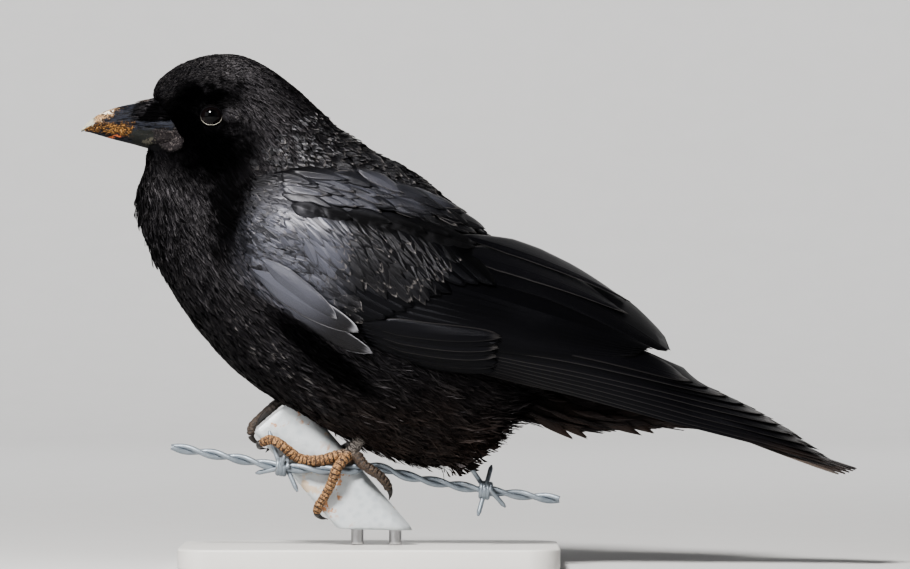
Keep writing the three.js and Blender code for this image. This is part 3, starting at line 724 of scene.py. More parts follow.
# %% Wing sheet
WING = [
    # lower x, lower z, upper x, upper z, how far out at the lower, middle and upper place
    [-64.0, 163.0, -64.5, 174.0, 33.5, 35.5, 32.5],
    [-59.0, 146.0, -57.0, 183.5, 38.0, 42.5, 34.0],
    [-45.5, 133.5, -38.0, 187.5, 43.5, 49.5, 35.0],
    [-28.5, 120.5, -14.5, 188.5, 47.0, 53.5, 33.0],
    [-9.5, 110.5, 12.0, 183.5, 49.0, 55.0, 28.5],
    [14.0, 103.0, 38.0, 171.5, 49.5, 54.0, 20.0],
    [31.0, 96.5, 52.0, 163.5, 48.5, 52.0, 13.5],
    [54.0, 91.0, 72.0, 154.8, 43.5, 47.0, 7.0],
    [82.0, 87.5, 93.0, 144.8, 40.5, 42.0, 3.4],
    [114.0, 79.0, 116.0, 132.5, 36.0, 34.0, 2.4],
    [138.0, 71.5, 137.0, 114.0, 31.0, 26.0, 2.6],
    [152.4, 68.8, 155.0, 90.5, 28.0, 22.0, 4.6],
    [176.5, 64.4, 176.0, 79.8, 25.0, 19.0, 3.6],
    [200.5, 57.5, 197.0, 69.2, 21.5, 16.0, 3.6],
    [216.0, 52.6, 213.0, 60.0, 16.5, 12.5, 4.6],
    [224.5, 49.8, 223.0, 51.8, 11.0, 10.0, 8.6],
]


def wing(s, t):
    """The left wing's outer face. x and z run straight from the lower to the upper end of the row
    line at s; y is the parabola through its lower, middle and upper values."""
    low_x, low_z, top_x, top_z, low_y, mid_y, top_y = np.moveaxis(spline(WING, s), -1, 0)
    y = low_y * (1 - t) * (1 - 2 * t) + mid_y * 4 * t * (1 - t) + top_y * t * (2 * t - 1)
    return np.stack([low_x + (top_x - low_x) * t, -y, low_z + (top_z - low_z) * t], -1)


def wing_place(x, z):
    """(s, t) on the wing sheet of places seen from the side, by halving the range of s."""
    low, high = np.full(x.shape, -0.16), np.full(x.shape, 1.04)
    for _ in range(18):
        s = (low + high) / 2
        low_x, low_z, top_x, top_z = np.moveaxis(spline(WING, s), -1, 0)[:4]
        before = (top_x - low_x) * (z - low_z) - (top_z - low_z) * (x - low_x) > 0
        low, high = np.where(before, low, s), np.where(before, s, high)
    span = np.stack([top_x - low_x, top_z - low_z])
    t = ((x - low_x) * span[0] + (z - low_z) * span[1]) / (span**2).sum(0)
    return s, t


def on_wing(x, z, lift):
    """Points of the left wing at (x, z), lifted off the sheet along its normal. What would stand
    up past the sheet's upper edge folds inwards over the back instead."""
    s, t = wing_place(x, z)
    flat = np.clip(t, -0.12, 1.0)
    point = wing(s, flat)
    _, _, normal = slopes(wing, s, flat)
    normal[normal[..., 1] > 0] *= -1
    rows = spline(WING, s)
    over = np.clip(t - 1, 0, None) * np.hypot(rows[..., 2] - rows[..., 0], rows[..., 3] - rows[..., 1])
    below = t < 0
    point[..., 0] = np.where(below, x, point[..., 0])
    point[..., 2] = np.where(below, z, point[..., 2]) - 0.15 * over
    point[..., 1] = point[..., 1] + np.minimum(over * 0.95, np.clip(-point[..., 1] - 0.6, 0, None))
    return point + normal * lift[..., None]


print("wing sheet from", wing(0.0, 0.5).round(1), "to", wing(1.0, 0.5).round(1))

# %% [markdown]
# ## One skin
# Under the feathers is one skin without a seam. It could be sculpted, or stitched from parts.
# Here swept body, undertail pad and two fleshy shoulders are closed shells that sink into each
# other, and a voxel remesh melts them into one, inside the feathers' tips by the coat's depth.

# %% The skin
COAT = {"body": 2.3, "undertail": 1.6, "wing": 1.6}
SHOULDER_THICK = 7.0
SKIN_VOXEL = 1.5


def ring_turns(count):
    return np.arange(count) * 2 * np.pi / count


def swept(rows, count, grow):
    """The body formula on a grid of `count` rings, as a closed shell."""
    t, turn = np.meshgrid(np.linspace(0, 1, count), ring_turns(64), indexing="ij")
    points, faces = capped(body(rows, t, turn, grow))
    return {"points": points, "faces": faces}


def shoulder(side):
    """A pad under the front of the wing sheet: its outer face, and the same moved inwards."""
    s, t = np.meshgrid(np.linspace(0.055, 0.41, 50), np.linspace(0.05, 0.95, 24), indexing="ij")
    _, _, normal = slopes(wing, s, t)
    normal[normal[..., 1] > 0] *= -1
    outer = wing(s, t) - normal * COAT["wing"]
    inner = wing(s, t) - normal * (COAT["wing"] + SHOULDER_THICK)
    points, faces = capped(np.concatenate([outer, inner[:, ::-1]], 1) * [1, side, 1])
    return {"points": points, "faces": faces}


flesh = [swept(BODY, 120, -COAT["body"]), swept(UNDERTAIL, 40, -COAT["undertail"])]
shells = put_mesh("skin_shells", **joined([*flesh, shoulder(1), shoulder(-1)]))
remesh = shells.modifiers.new("melt", "REMESH")
remesh.mode = "VOXEL"
remesh.voxel_size = SKIN_VOXEL * MM
remesh.use_smooth_shade = True
melted = shells.evaluated_get(bpy.context.evaluated_depsgraph_get())
skin_mesh = bpy.data.meshes.new_from_object(melted)
skin_mesh.name = "crow_skin"
bpy.data.objects.remove(shells)
crow_skin = bpy.data.objects.new("crow_skin", skin_mesh)
bpy.context.scene.collection.objects.link(crow_skin)
crow_skin.data.materials.clear()
finish_piece(crow_skin, skin_finish, "plumage", "head", "neck", "trunk", "undertail")

# %% [markdown]
# ## One feather, many feathers
# A feather is a small grid: u runs from its root to its tip, v across it. Its outline widens
# quickly, then closes round or pointed, and each barb clump ends a little longer or shorter, so
# the tip is ragged. The arrays get one line for each feather, and a whole tract bends in one go.


# %% Feather outline
TUFT_PATCH = 0.003  # of the bake map's width


def blade(rows, columns):
    """A feather's grid: u from root to tip, v from -1 to 1 across it, and its quads."""
    u, v = np.meshgrid(np.linspace(0, 1, rows + 1), np.linspace(-1, 1, columns + 1), indexing="ij")
    return u.ravel(), v.ravel(), grid_faces(rows + 1, columns + 1)


def outline(u, pointed):
    """Half width at u: (u / 0.3)^0.7 up to 1, closing past 0.5 as an ellipse or as a point."""
    x = np.clip((u - 0.5) / 0.5, 0, 1)
    end = (1 - pointed) * np.sqrt(1 - x**2) + pointed * (1 - x) ** 0.9
    return np.clip(u / 0.3, 0.05, 1) ** 0.7 * np.maximum(end, 0.10)


def vane_grid(count, rows, columns, length, low, high, pointed, ragged, camber):
    """(count, points) arrays of a tract's blades: along, across, sink, u, v and its faces.

    across = v * low or high half width * outline; sink = camber * v^2 lets the edges droop.
    """
    u, v, faces = blade(rows, columns)
    clump = dice.uniform(-1, 1, (count, columns + 1))[:, np.arange(len(u)) % (columns + 1)]
    u, v = u[None], v[None]
    along = length[:, None] * u * (1 + ragged * clump * u**3)
    half = np.where(v > 0, high[:, None], low[:, None])
    across = v * half * outline(u, pointed)
    sink = camber[:, None] * v**2
    return along, across, sink, np.broadcast_to(u, along.shape), np.broadcast_to(v, along.shape), faces


def tract(points, faces, across, along, u, v, tone, bake):
    """Joins the arrays of a tract: points, quads, feather map, bake map and marks."""
    count, each = points.shape[:2]
    return {
        "points": points.reshape(-1, 3),
        "faces": (faces[None] + (np.arange(count) * each)[:, None, None]).reshape(-1, 4),
        "Feather": np.stack([across, along], -1).reshape(-1, 2) * MAP_SCALE,
        "OFBake": bake.reshape(-1, 2),
        "tone": np.broadcast_to(tone[:, None], u.shape).ravel(),
        "edge": np.maximum(np.abs(v), u**2).ravel(),
    }


def tuft_patch(place, u, v):
    """A patch of the bake map at each root's place, TUFT_PATCH across."""
    local = np.stack([v / 2, u - 0.5], -1) * TUFT_PATCH
    return place[:, None, :] * 0.98 + 0.01 + local


def lanes(first, total, u, v):
    """Long strips of the bake map, one for each feather: number first, first + 1, ... of total."""
    number = first + np.arange(len(u))[:, None]
    return np.stack([(number + 0.5 + v * 0.42) / total, 0.02 + 0.96 * u], -1)


print("half width from root to tip:", outline(np.linspace(0, 1, 5), 0.5).round(2))

# %% [markdown]
# ## Where feathers root
# Roots must be even but not in rows. Random ones leave clumps and gaps, and a particle system
# can't be shaped feather by feather. A low-discrepancy sequence, which steps by fixed irrational
# shares, fills an area evenly. Roots where nothing would show are left out.

# %% Eye, bill and the even sequence
EYE = {"x": -74.8, "z": 213.8, "radius": 6.4, "out": 14.1}
BILL = [
    # x, then the heights of ridge, cutting edge and underside, and half width
    [-87.5, 221.0, 207.0, 198.6, 11.0],
    [-96.0, 222.0, 207.4, 198.2, 10.0],
    [-104.5, 221.3, 208.6, 198.6, 8.3],
    [-113.0, 220.0, 209.9, 200.8, 6.4],
    [-121.0, 218.2, 210.0, 202.8, 4.9],
    [-128.0, 215.6, 209.3, 204.8, 3.4],
    [-133.5, 212.0, 208.2, 206.4, 1.9],
    [-137.4, 207.9, 206.6, 207.0, 0.5],
]
STEPS = 1 / 1.2207440846 ** np.arange(1, 4)  # inverse powers of the root of x^4 = x + 1


def even_draws(count, wide=3):
    """Places 1 to count - 1 of the sequence, `wide` values in 0..1 each: (0.5 + n * step) mod 1."""
    return (0.5 + np.arange(1, count)[:, None] * STEPS[:wide]) % 1


def on_bill(x, z):
    """Where the horn shows, seen from the side: ahead of a slanting line from gape to forehead."""
    share = np.interp(-x, -np.array(BILL)[:, 0], np.linspace(0, 1, len(BILL)))
    _, ridge, edge, under, _ = np.moveaxis(spline(BILL, share), -1, 0)
    start = np.where(z > edge, -92.0 - 0.75 * (z - edge), -89.0 - 0.15 * (edge - z))
    return (x < start) & (z < ridge + 0.2) & (z > under + 0.3)


def hidden(x, y, z):
    """Roots that nothing shows: under a wing, on the bill or in an eye."""
    s, t = wing_place(x, z)
    out = -wing(s, t)[..., 1]
    winged = (s > 0.035) & (s < 0.95) & (t > 0.10) & (t < 0.90) & (np.abs(y) < out + 3)
    eyed = np.hypot((x - EYE["x"]) / 5.9, (z - EYE["z"]) / 5.2) < 1
    return winged & (z > 75) | on_bill(x, z) | eyed & (np.abs(y) > 8)


def roots(rows, count, window, spacing, round_to=np.pi, round_from=0.0):
    """Even root places: (t, turn) of the sequence, kept with a chance of area / spacing^2, and
    only where the turn away from the top, either way, is between round_from and round_to."""
    first, last = window
    draws = even_draws(count * 14)
    t = first + (last - first) * draws[:, 0]
    turn = 2 * np.pi * draws[:, 1]
    along, across, _ = slopes(partial(body, rows), t, turn)
    weight = np.linalg.norm(np.cross(along, across), axis=-1) / spacing(t, turn) ** 2
    keep = draws[:, 2] < weight / np.quantile(weight, 0.995)
    keep &= ~hidden(*np.moveaxis(body(rows, t, turn), -1, 0))
    away = np.abs((turn + np.pi) % (2 * np.pi) - np.pi)
    keep &= (away >= round_from) & (away <= round_to)
    chosen = np.flatnonzero(keep)[:count]
    return t[chosen], turn[chosen]


print("the sequence starts", even_draws(4).round(3).tolist())

# %% [markdown]
# ## The lie of the coat
# Feathers lean back over the next ones, as roof tiles do, from face to tail. A table gives their
# length, width, lift and stiffness along the bird, tufts of neighbours waver together, and near
# the eye the lie parts, as a stream does round a stone.

# %% The lie at any place
LIE = np.array([
    # t, length on top, at the side, below; width share on top, below; tip lift; stiffness
    [0.00, 3.0, 3.2, 4.0, 0.16, 0.10, 0.3, 0.2],
    [0.07, 3.6, 3.8, 5.0, 0.16, 0.10, 0.3, 0.2],
    [0.13, 4.4, 4.4, 7.0, 0.16, 0.10, 0.3, 0.2],
    [0.20, 5.4, 5.6, 9.5, 0.13, 0.10, 0.2, 0.2],
    [0.27, 6.8, 7.4, 12.0, 0.13, 0.09, 0.3, 0.2],
    [0.33, 8.5, 9.4, 13.5, 0.15, 0.09, 0.3, 0.3],
    [0.40, 11.0, 11.5, 14.5, 0.20, 0.10, 0.4, 0.4],
    [0.47, 13.0, 12.5, 15.0, 0.27, 0.11, 0.4, 0.3],
    [0.53, 15.0, 13.5, 15.5, 0.31, 0.12, 0.4, 0.3],
    [0.60, 17.0, 14.5, 16.0, 0.33, 0.13, 0.4, 0.3],
    [0.70, 20.0, 16.5, 17.0, 0.30, 0.13, 0.5, 0.4],
    [0.80, 22.0, 18.0, 18.0, 0.26, 0.13, 0.8, 0.6],
    [0.90, 22.0, 18.0, 18.0, 0.22, 0.12, 1.2, 0.9],
    [1.00, 20.0, 16.0, 16.0, 0.20, 0.12, 1.4, 0.9],
])


PARTED = 22.0  # how far from the eye the lie still parts, in millimetres


def lie_at(t, turn):
    """Length, width share, lift and stiffness of the feathers at (t, turn)."""
    top, side, bottom, broad, narrow, lift, stiff = (
        np.interp(t, LIE[:, 0], LIE[:, k]) for k in range(1, 8)
    )
    up = np.clip(np.cos(turn), 0, 1) ** 1.5
    down = np.clip(-np.cos(turn), 0, 1) ** 1.5
    length = top * up + bottom * down + side * (1 - up - down)
    return length, narrow + (broad - narrow) * smooth(-0.2, 0.6, np.cos(turn)), lift, stiff


def swell(place, size, seed):
    """A smooth value from -1 to 1 that wavers over about `size`: a product of two sines."""
    a, b = place[..., 0] * 2 * np.pi / size, place[..., 2] * 2 * np.pi / size
    bend = 1.3 * np.sin(0.37 * b + 2 * seed) + 0.9 * np.sin(0.61 * a + seed)
    return np.sin(a + 0.4 * b + bend) * np.cos(0.8 * b - 0.5 * a + 1.1 * seed)


def parting(point, along, across):
    """How far the lie turns, in radians, to part round the eyes: the flow past a cylinder."""
    centre = np.stack([np.full(len(point), EYE["x"]), np.sign(point[:, 1]) * (EYE["out"] + 3),
                       np.full(len(point), EYE["z"])], -1)
    away = point - centre
    a = (away * unit(along)).sum(-1)
    b = (away * unit(across)).sum(-1)
    far = np.maximum(a**2 + b**2, EYE["radius"] ** 2)
    stone = (EYE["radius"] * 0.98) ** 2 / far
    angle = np.arctan2(b, a)
    turned = np.arctan2(-stone * np.sin(2 * angle), 1 - stone * np.cos(2 * angle))
    return np.where(np.hypot(point[:, 0] - EYE["x"], point[:, 2] - EYE["z"]) < PARTED, turned, 0)


print("feather lengths on top:", LIE[::4, 1].tolist(), "and below:", LIE[::4, 3].tolist())

# %% [markdown]
# ## Laying a tract
# A tract is one field of feathers with the same habit. Copies of one feather would stand off the
# skin or cut into it. Here every point of every feather is worked out on the body's own formula,
# so a feather bends with the body, and only a stiff tip goes straight.


# %% Body tracts
def lay_on_body(rows, t, turn, lean, along, across, lift, stiff):
    """Bends flat feathers over the body. A step along or across a feather is a step in (t, turn),
    divided by the length of that tangent at the root; a stiff one goes straight on instead."""
    surface = partial(body, rows)
    down, round_, normal = slopes(surface, t, turn)
    speed, spin = (np.linalg.norm(v, axis=-1)[:, None] for v in (down, round_))
    c, s = np.cos(lean)[:, None], np.sin(lean)[:, None]
    t1 = t[:, None] + (along * c + across * s) / speed
    turn1 = turn[:, None] + (along * s - across * c) / spin
    bent = surface(t1, turn1)
    _, _, out = slopes(surface, t1, turn1)
    ahead = unit(down) * c + unit(round_) * s
    beside = np.cross(ahead, normal)
    root = surface(t, turn)[:, None]
    straight = root + ahead[:, None] * along[..., None] + beside[:, None] * across[..., None]
    share = stiff[..., None]
    out = unit(out * (1 - share) + normal[:, None] * share)
    return bent * (1 - share) + straight * share + out * lift[..., None]


def coat_tract(rows, count, window, grid, spacing, stretch=1.0, widen=1.0, pointed=0.5, ragged=0.10,
               lean=0.12, extra_lift=0.0, depth=2.0, tuft=9.0, **part):
    """One tract of body feathers as arrays ready for put_mesh.

    The height over the body is -depth at the root and rises as u^0.75 to the tip's lift.
    Neighbours move together: a wavering value tilts and lifts them in tufts of about `tuft`.
    """
    t, turn = roots(rows, count, window, spacing, **part)
    count = len(t)
    length, width, lift, stiff = lie_at(t, turn)
    length = length * stretch * dice.uniform(0.75, 1.2, count)
    half = length * width * widen * dice.uniform(0.8, 1.2, count)
    tips = np.clip(pointed + dice.normal(0, 0.15, (count, 1)), 0, 1)
    along, across, sink, u, v, faces = vane_grid(
        count, *grid, length, half, half, tips, ragged, half * 0.16
    )
    point = body(rows, t, turn)
    down, round_, _ = slopes(partial(body, rows), t, turn)
    wave = swell(point, tuft, 0.7)
    angle = dice.normal(0, lean, count) + 0.10 * wave + parting(point, down, round_)
    roll = dice.normal(0, 0.10, (count, 1)) + 0.12 * swell(point, tuft * 1.4, 2.1)[:, None]
    rise = (lift + extra_lift)[:, None] * (dice.uniform(0.2, 1.5, (count, 1)) + 0.5 * wave[:, None])
    height = -depth + (depth + rise) * u**0.75 - sink + roll * across
    laid = lay_on_body(rows, t, turn, angle, along, across, height, stiff[:, None] * u**1.5)
    bake = tuft_patch(np.stack([turn / (2 * np.pi), np.clip(t, 0, 1)], -1), u, v)
    return tract(laid, faces, across, along, u, v, dice.uniform(0, 1, count), bake)


def put_coat(name, arrays, material, slot, *nodes):
    return finish_piece(put_mesh(name, **arrays), material, slot, *nodes)


def cover(name, material, *where, **shape):
    """A tract of the coat as a finished piece of plumage."""
    return put_coat(name, coat_tract(*where, **shape), material, "plumage")


# %% [markdown]
# ## Head feathers
# Face and crown have tiny, velvety feathers that melt into one surface. Bump alone would do, but
# not at the outline, so they are mesh, with few faces each. `even` keeps one spacing; `by_length`
# spaces them by how long they are.


# %% Head feathers
def even(size):
    return lambda t, turn: np.full(t.shape, size)


def by_length(share):
    return lambda t, turn: lie_at(t, turn)[0] * share


cover("coat_face", soft_feather, BODY, 16000, (-0.01, 0.23), (3, 2), even(0.62), pointed=0.8,
      ragged=0.16, depth=1.9, tuft=6.0)
cover("coat_nape", soft_feather, BODY, 16000, (0.21, 0.42), (3, 2), by_length(0.115), pointed=0.8,
      ragged=0.2, depth=1.9, tuft=8.0)

# %% [markdown]
# ## Neck, breast and belly
# Here the feathers are long and loose, in wavering tufts. Larger plates would be cheaper but look
# like scales, so they stay narrow and many, and more ragged the further down they are.

# %% Neck, breast and belly
cover("coat_breast", soft_feather, BODY, 12200, (0.385, 0.62), (4, 2), by_length(0.15), pointed=0.75,
      ragged=0.2, tuft=13.0)
cover("coat_belly", soft_feather, BODY, 12200, (0.60, 1.0), (4, 2), by_length(0.15), pointed=0.8,
      ragged=0.25, tuft=14.0)

# %% [markdown]
# ## Mantle and throat hackles
# The back has broad, firm, glossy feathers, each plainly to be seen, and the throat long pointed
# ones, the hackles, that stand off a little. Both are tracts on the same formula, held to the top
# or to the underside by their turn round the body.

# %% Mantle and throat hackles
cover("coat_mantle", firm_feather, BODY, 2050, (0.40, 0.80), (6, 4), even(3.3), stretch=0.72,
      widen=1.15, pointed=0.35, ragged=0.12, extra_lift=0.5, tuft=16.0, round_to=1.30)
cover("coat_hackles", soft_feather, BODY, 760, (0.20, 0.43), (5, 2), even(2.0), stretch=0.75,
      widen=0.75, pointed=0.95, ragged=0.15, lean=0.2, extra_lift=1.1, tuft=7.0, round_from=2.2)

# %% [markdown]
# ## Fringe and wisps at the vent
# Behind the legs the feathers end in hair-like wisps. Curves with a thickness would do, but don't
# export. Very narrow feathers do: a close fringe, and fewer, longer wisps that stand off it.

# %% Fringe and wisps
cover("coat_fringe", soft_feather, BODY, 5000, (0.72, 1.0), (4, 1), by_length(0.17), stretch=0.95,
      widen=0.10, pointed=1.0, ragged=0.1, lean=0.35, extra_lift=0.9, tuft=10.0)
cover("coat_wisps", soft_feather, BODY, 3000, (0.86, 1.0), (5, 1), even(1.2), stretch=1.1,
      widen=0.042, pointed=1.0, ragged=0.1, lean=0.45, extra_lift=5.0, tuft=6.0, round_from=1.9)

# %% [markdown]
# ## Under the tail
# A cone of soft coverts closes the belly towards the tail: a tract on its own rings. The last few
# hang free, old and browned, placed one by one because their tips show against the light.

# %% Under the tail
cover("coat_undertail", soft_feather, UNDERTAIL, 420, (-0.1, 0.86), (6, 4), even(3.0), stretch=1.2,
      widen=1.1, pointed=0.85, ragged=0.05, lean=0.10, extra_lift=0.4, depth=1.5)
HANGING = [
    # root x, z, then tip x, z, y and half width
    [74, 76, 95.8, 60.6, -9, 3.2],
    [78, 77, 103.2, 60.8, -7, 3.4],
    [104, 74, 128.6, 62.4, -9, 3.4],
    [108, 76, 134.3, 63.4, -8, 3.6],
    [120, 76, 151.0, 67.6, -4, 3.6],
    [92, 76, 117.0, 65.6, -8, 3.4],
]


def loose_feathers(first, last, half, out, grid, tone, bake):
    """Straight feathers from the first to the last points, cupped away from `out` by 0.8 * v^2."""
    count = len(first)
    length = np.linalg.norm(last - first, axis=-1)
    along, across, sink, u, v, faces = vane_grid(
        count, *grid, length, half, half, 0.8, 0.03, np.full(count, 0.8)
    )
    ahead = (last - first) / length[:, None]
    out = np.broadcast_to(out, ahead.shape)
    out = unit(out - ahead * (out * ahead).sum(-1, keepdims=True))
    beside = np.cross(ahead, out)
    laid = first[:, None] + ahead[:, None] * along[..., None] + beside[:, None] * across[..., None]
    laid = laid - out[:, None] * sink[..., None]
    return tract(laid, faces, across, along, u, v, tone, bake(u, v))


def hanging_tips(side):
    """The HANGING rows on one side, their roots a tenth further out than their tips."""
    rows = np.array(HANGING, float) * [1, 1, 1, 1, -side, 1]
    first = np.stack([rows[:, 0], rows[:, 4] * 1.1, rows[:, 1]], -1)
    last = np.stack([rows[:, 2], rows[:, 4], rows[:, 3]], -1)

    def bake(u, v):
        lane = (np.arange(len(rows))[:, None] + 0.5 + v * 0.42) / len(rows)
        return np.stack([lane / 2 + (side > 0) / 2, u * 0.98 + 0.01], -1)

    tone = dice.uniform(1.1, 1.5, len(rows))
    return loose_feathers(first, last, rows[:, 5], [0.0, side, -0.45], (10, 4), tone, bake)


put_coat("undertail_tips", joined([hanging_tips(-1), hanging_tips(1)]), soft_feather, "plumage")

# %% [markdown]
# ## Feathers over the bend of the wing
# A perched crow tucks the front of its wing under its neck feathers, so no edge shows. Ending the
# wing sheet there would leave a seam. Loose feathers rooted on the body reach across the gap and
# rest their tips on the wing.

# %% Collar over the bend of the wing
COLLAR = {"feathers": 520, "slant": 55.0, "low": 9.0, "high": 15.0, "half": 0.9}


def collar(side):
    """Soft neck feathers rooted on the body ahead of the wing, with their tips on its front edge."""
    draws = even_draws(9000, 2)
    t = 0.34 + 0.24 * draws[:, 0]
    turn = side * (0.7 + 1.5 * draws[:, 1])
    root = body(BODY, t, turn, -1.2)
    slant = np.radians(COLLAR["slant"] + dice.normal(0, 8, len(t)))
    reach = dice.uniform(COLLAR["low"], COLLAR["high"], len(t))
    tip_x = root[:, 0] + reach * np.cos(slant)
    tip_z = root[:, 2] - reach * np.sin(slant)
    s, across = wing_place(tip_x, tip_z)
    ahead = wing_place(root[:, 0], root[:, 2])[0] < 0.03
    over = (s > 0.01) & (s < 0.10) & (across > -0.05) & (across < 1)
    chosen = np.flatnonzero(ahead & over)[:COLLAR["feathers"]]
    lift = dice.uniform(0.8, 1.7, len(chosen))
    tip = on_wing(tip_x[chosen], tip_z[chosen], lift) * [1, -side, 1]
    spot = np.stack([turn[chosen] / (2 * np.pi) % 1, t[chosen]], -1)
    half = COLLAR["half"] * dice.uniform(0.7, 1.3, len(chosen))
    tone = dice.uniform(0, 1, len(chosen))
    print("collar feathers:", len(chosen))
    return loose_feathers(root[chosen], tip, half, [-0.35, side, 0.1], (5, 2), tone,
                          lambda u, v: tuft_patch(spot, u, v))


put_coat("coat_collar", joined([collar(-1), collar(1)]), soft_feather, "plumage")

# %% [markdown]
# ## Wing feathers
# Wing feathers are firm and each has its own place, so they are listed by tract: where the first
# and last have their root and tip, seen from the side, how wide they are and how high they lie.
# Those nearer the back lie on top. Each is a thin closed plate, as a long feather shows its edge.


# %% Wing tract builder
def shell_of(points, faces, inwards):
    """Closes each sheet of a tract into a thin plate: its face, its back and the rim between them.

    The back is the face moved by the vector `inwards`.
    """
    each = points.shape[1]
    both = np.concatenate([points, points + inwards], 1)
    edges = np.concatenate([faces[:, [k, (k + 1) % 4]] for k in range(4)])
    codes = edges[:, 0] * each + edges[:, 1]
    lone = edges[~np.isin(edges[:, 1] * each + edges[:, 0], codes)]
    rim = np.stack([lone[:, 1], lone[:, 0], lone[:, 0] + each, lone[:, 1] + each], -1)
    return both, np.concatenate([faces, faces[:, ::-1] + each, rim])


def doubled(*arrays):
    """Each per-point array once for a plate's face and once for its back."""
    return [np.concatenate([array, array], 1) for array in arrays]


def wing_tract(side, roots_xz, tips_xz, low, high, lift, grid=(16, 6), bow=0.0, pointed=0.3,
               ragged=0.015, camber=0.5, thick=0.25, scatter=0.0, bake_lane=None, rise=0.6, roll=0.0,
               tone=None):
    """Feathers between root and tip places seen from the side, laid on the wing sheet.

    Each axis is a straight line bowed downwards by bow * 4u(1 - u). Lift is the height over the
    sheet at the root, `rise` is added towards the tip, and roll * v tips the lower edge outwards.
    """
    roots_xz, tips_xz = np.asarray(roots_xz, float), np.asarray(tips_xz, float)
    count = len(roots_xz)
    tips_xz = tips_xz + dice.normal(0, 1, (count, 2)) * scatter
    chord = tips_xz - roots_xz
    length = np.linalg.norm(chord, axis=-1)
    low, high, lift, bow, pointed, roll, camber = (
        np.broadcast_to(np.asarray(value, float), (count,))
        for value in (low, high, lift, bow, pointed, roll, camber)
    )
    along, across, sink, u, v, faces = vane_grid(
        count, *grid, length, high, low, pointed[:, None], ragged, camber
    )
    ahead = chord / length[:, None]
    below = np.stack([ahead[:, 1], -ahead[:, 0]], -1)
    offset = across + bow[:, None] * 4 * u * (1 - u)
    x = roots_xz[:, :1] + ahead[:, :1] * along + below[:, :1] * offset
    z = roots_xz[:, 1:] + ahead[:, 1:] * along + below[:, 1:] * offset
    shaft = 0.25 * np.exp(-((v / 0.12) ** 2)) * (1 - u)
    height = lift[:, None] + rise * u - sink + shaft + roll[:, None] * v * u
    laid = on_wing(x, z, height) * [1, -side, 1]
    if bake_lane is None:
        place = wing_place(roots_xz[:, 0], roots_xz[:, 1])
        bake = tuft_patch(np.clip(np.stack(place, -1), 0, 1), u, v)
    else:
        bake = lanes(*bake_lane, u, v)
    if thick:
        laid, faces = shell_of(laid, faces, [0, thick * -side, 0])
        across, along, u, v, bake = doubled(across, along, u, v, bake)
    tone = dice.uniform(0, 1, count) if tone is None else np.broadcast_to(np.asarray(tone, float), (count,))
    made = tract(laid, faces, across, along, u, v, tone, bake)
    if side > 0:
        made["faces"] = made["faces"][:, ::-1]
    return made


def between(first, last, count):
    """`count` places evenly from first to last."""
    share = np.linspace(0, 1, count)[:, None]
    return np.asarray(first) + (np.asarray(last) - np.asarray(first)) * share


def behind(tips, degrees, length):
    """Roots of feathers that point down and back by that many degrees to their tips."""
    angle = np.radians(np.broadcast_to(degrees, len(tips)))
    return np.asarray(tips) - np.stack([np.cos(angle), -np.sin(angle)], -1) * length


print("root of a feather of 20 mm at 45 degrees:", behind([[0, 0]], 45, 20).round(1).tolist())

# %% [markdown]
# ## Flight feathers
# The primaries come from the hand and make the wing's point, the secondaries from the arm, with
# three broad tertials over them. A model could open and close the fan; a still bird needs only
# where each feather ends up.

# %% Flight feathers
PRIMARY_TIPS = [
    # x and z of each tip, from the outermost primary in
    [152, 88.5], [161.5, 85.5], [170, 81.6], [178.5, 77.8], [187, 73.4], [195, 68.9], [202.5, 64.0],
    [209.5, 59.4], [216, 54.8], [222.0, 50.6], [220, 49.8], [206, 54.6], [178, 63.6],
]
FLIGHT_LANES = 25


def flight(side):
    """The right wing's tips lie half a feather further on, so each shows between two left ones."""
    tips = np.array(PRIMARY_TIPS, float)
    if side > 0:
        tips[:9] = (tips[:9] + tips[1:10]) / 2
    primaries = wing_tract(
        side, between([24, 111], [28, 97], 13), tips, np.linspace(4.2, 3.0, 13),
        np.linspace(8.0, 9.5, 13), np.linspace(-1.0, -3.6, 13), grid=(32, 8),
        bow=np.linspace(-6.5, -0.5, 13), pointed=np.linspace(-0.3, 0.6, 13),
        bake_lane=(0, FLIGHT_LANES), thick=0.35, rise=0.7, roll=0.6, camber=0.25,
        tone=dice.uniform(0.3, 1.0, 13),
    )
    secondaries = wing_tract(
        side, between([2, 117], [10, 142], 9), between([122.5, 100.0], [133.0, 104.0], 9), 4.6, 9.0,
        np.linspace(-0.9, 0.0, 9), grid=(28, 8), bow=np.linspace(2.0, -1.0, 9),
        bake_lane=(13, FLIGHT_LANES), rise=0.4, roll=0.5, tone=dice.uniform(0.1, 0.6, 9),
    )
    tertials = wing_tract(
        side, [[24, 143], [34, 150], [40, 157]], [[141.2, 102.6], [121.5, 119.5], [122, 125.0]],
        [5.0, 3.6, 2.6], [10.5, 9.0, 5.5], [0.2, 0.8, 1.4], grid=(30, 8), bow=[-9.5, -3.5, -3.5],
        bake_lane=(22, FLIGHT_LANES), camber=0.8, rise=0.5, roll=[0.3, 0.7, 0.7],
        # The upper two tertials' tone of 1.0 gives them painted glints along their rims.
        pointed=[-0.6, 0.7, 0.7], tone=[0.5, 1.0, 1.0],
    )
    return joined([primaries, secondaries, tertials])


for name, side in SIDES.items():
    put_coat(
        f"flight_{name}", flight(side), vane_feather, "flight_feathers",
        f"wing_{name}_primaries", f"wing_{name}_secondaries",
    )

# %% [markdown]
# ## Alula and large coverts
# Coverts are the roof over the roots of the flight feathers. The alula is the bird's thumb: three
# feathers at the wing's lower front, with bright painted glints along their rims. Few and large,
# each is placed with its own width and bow, as the flight feathers are.

# %% Alula, primary coverts and greater coverts
LARGE_LANES = 20


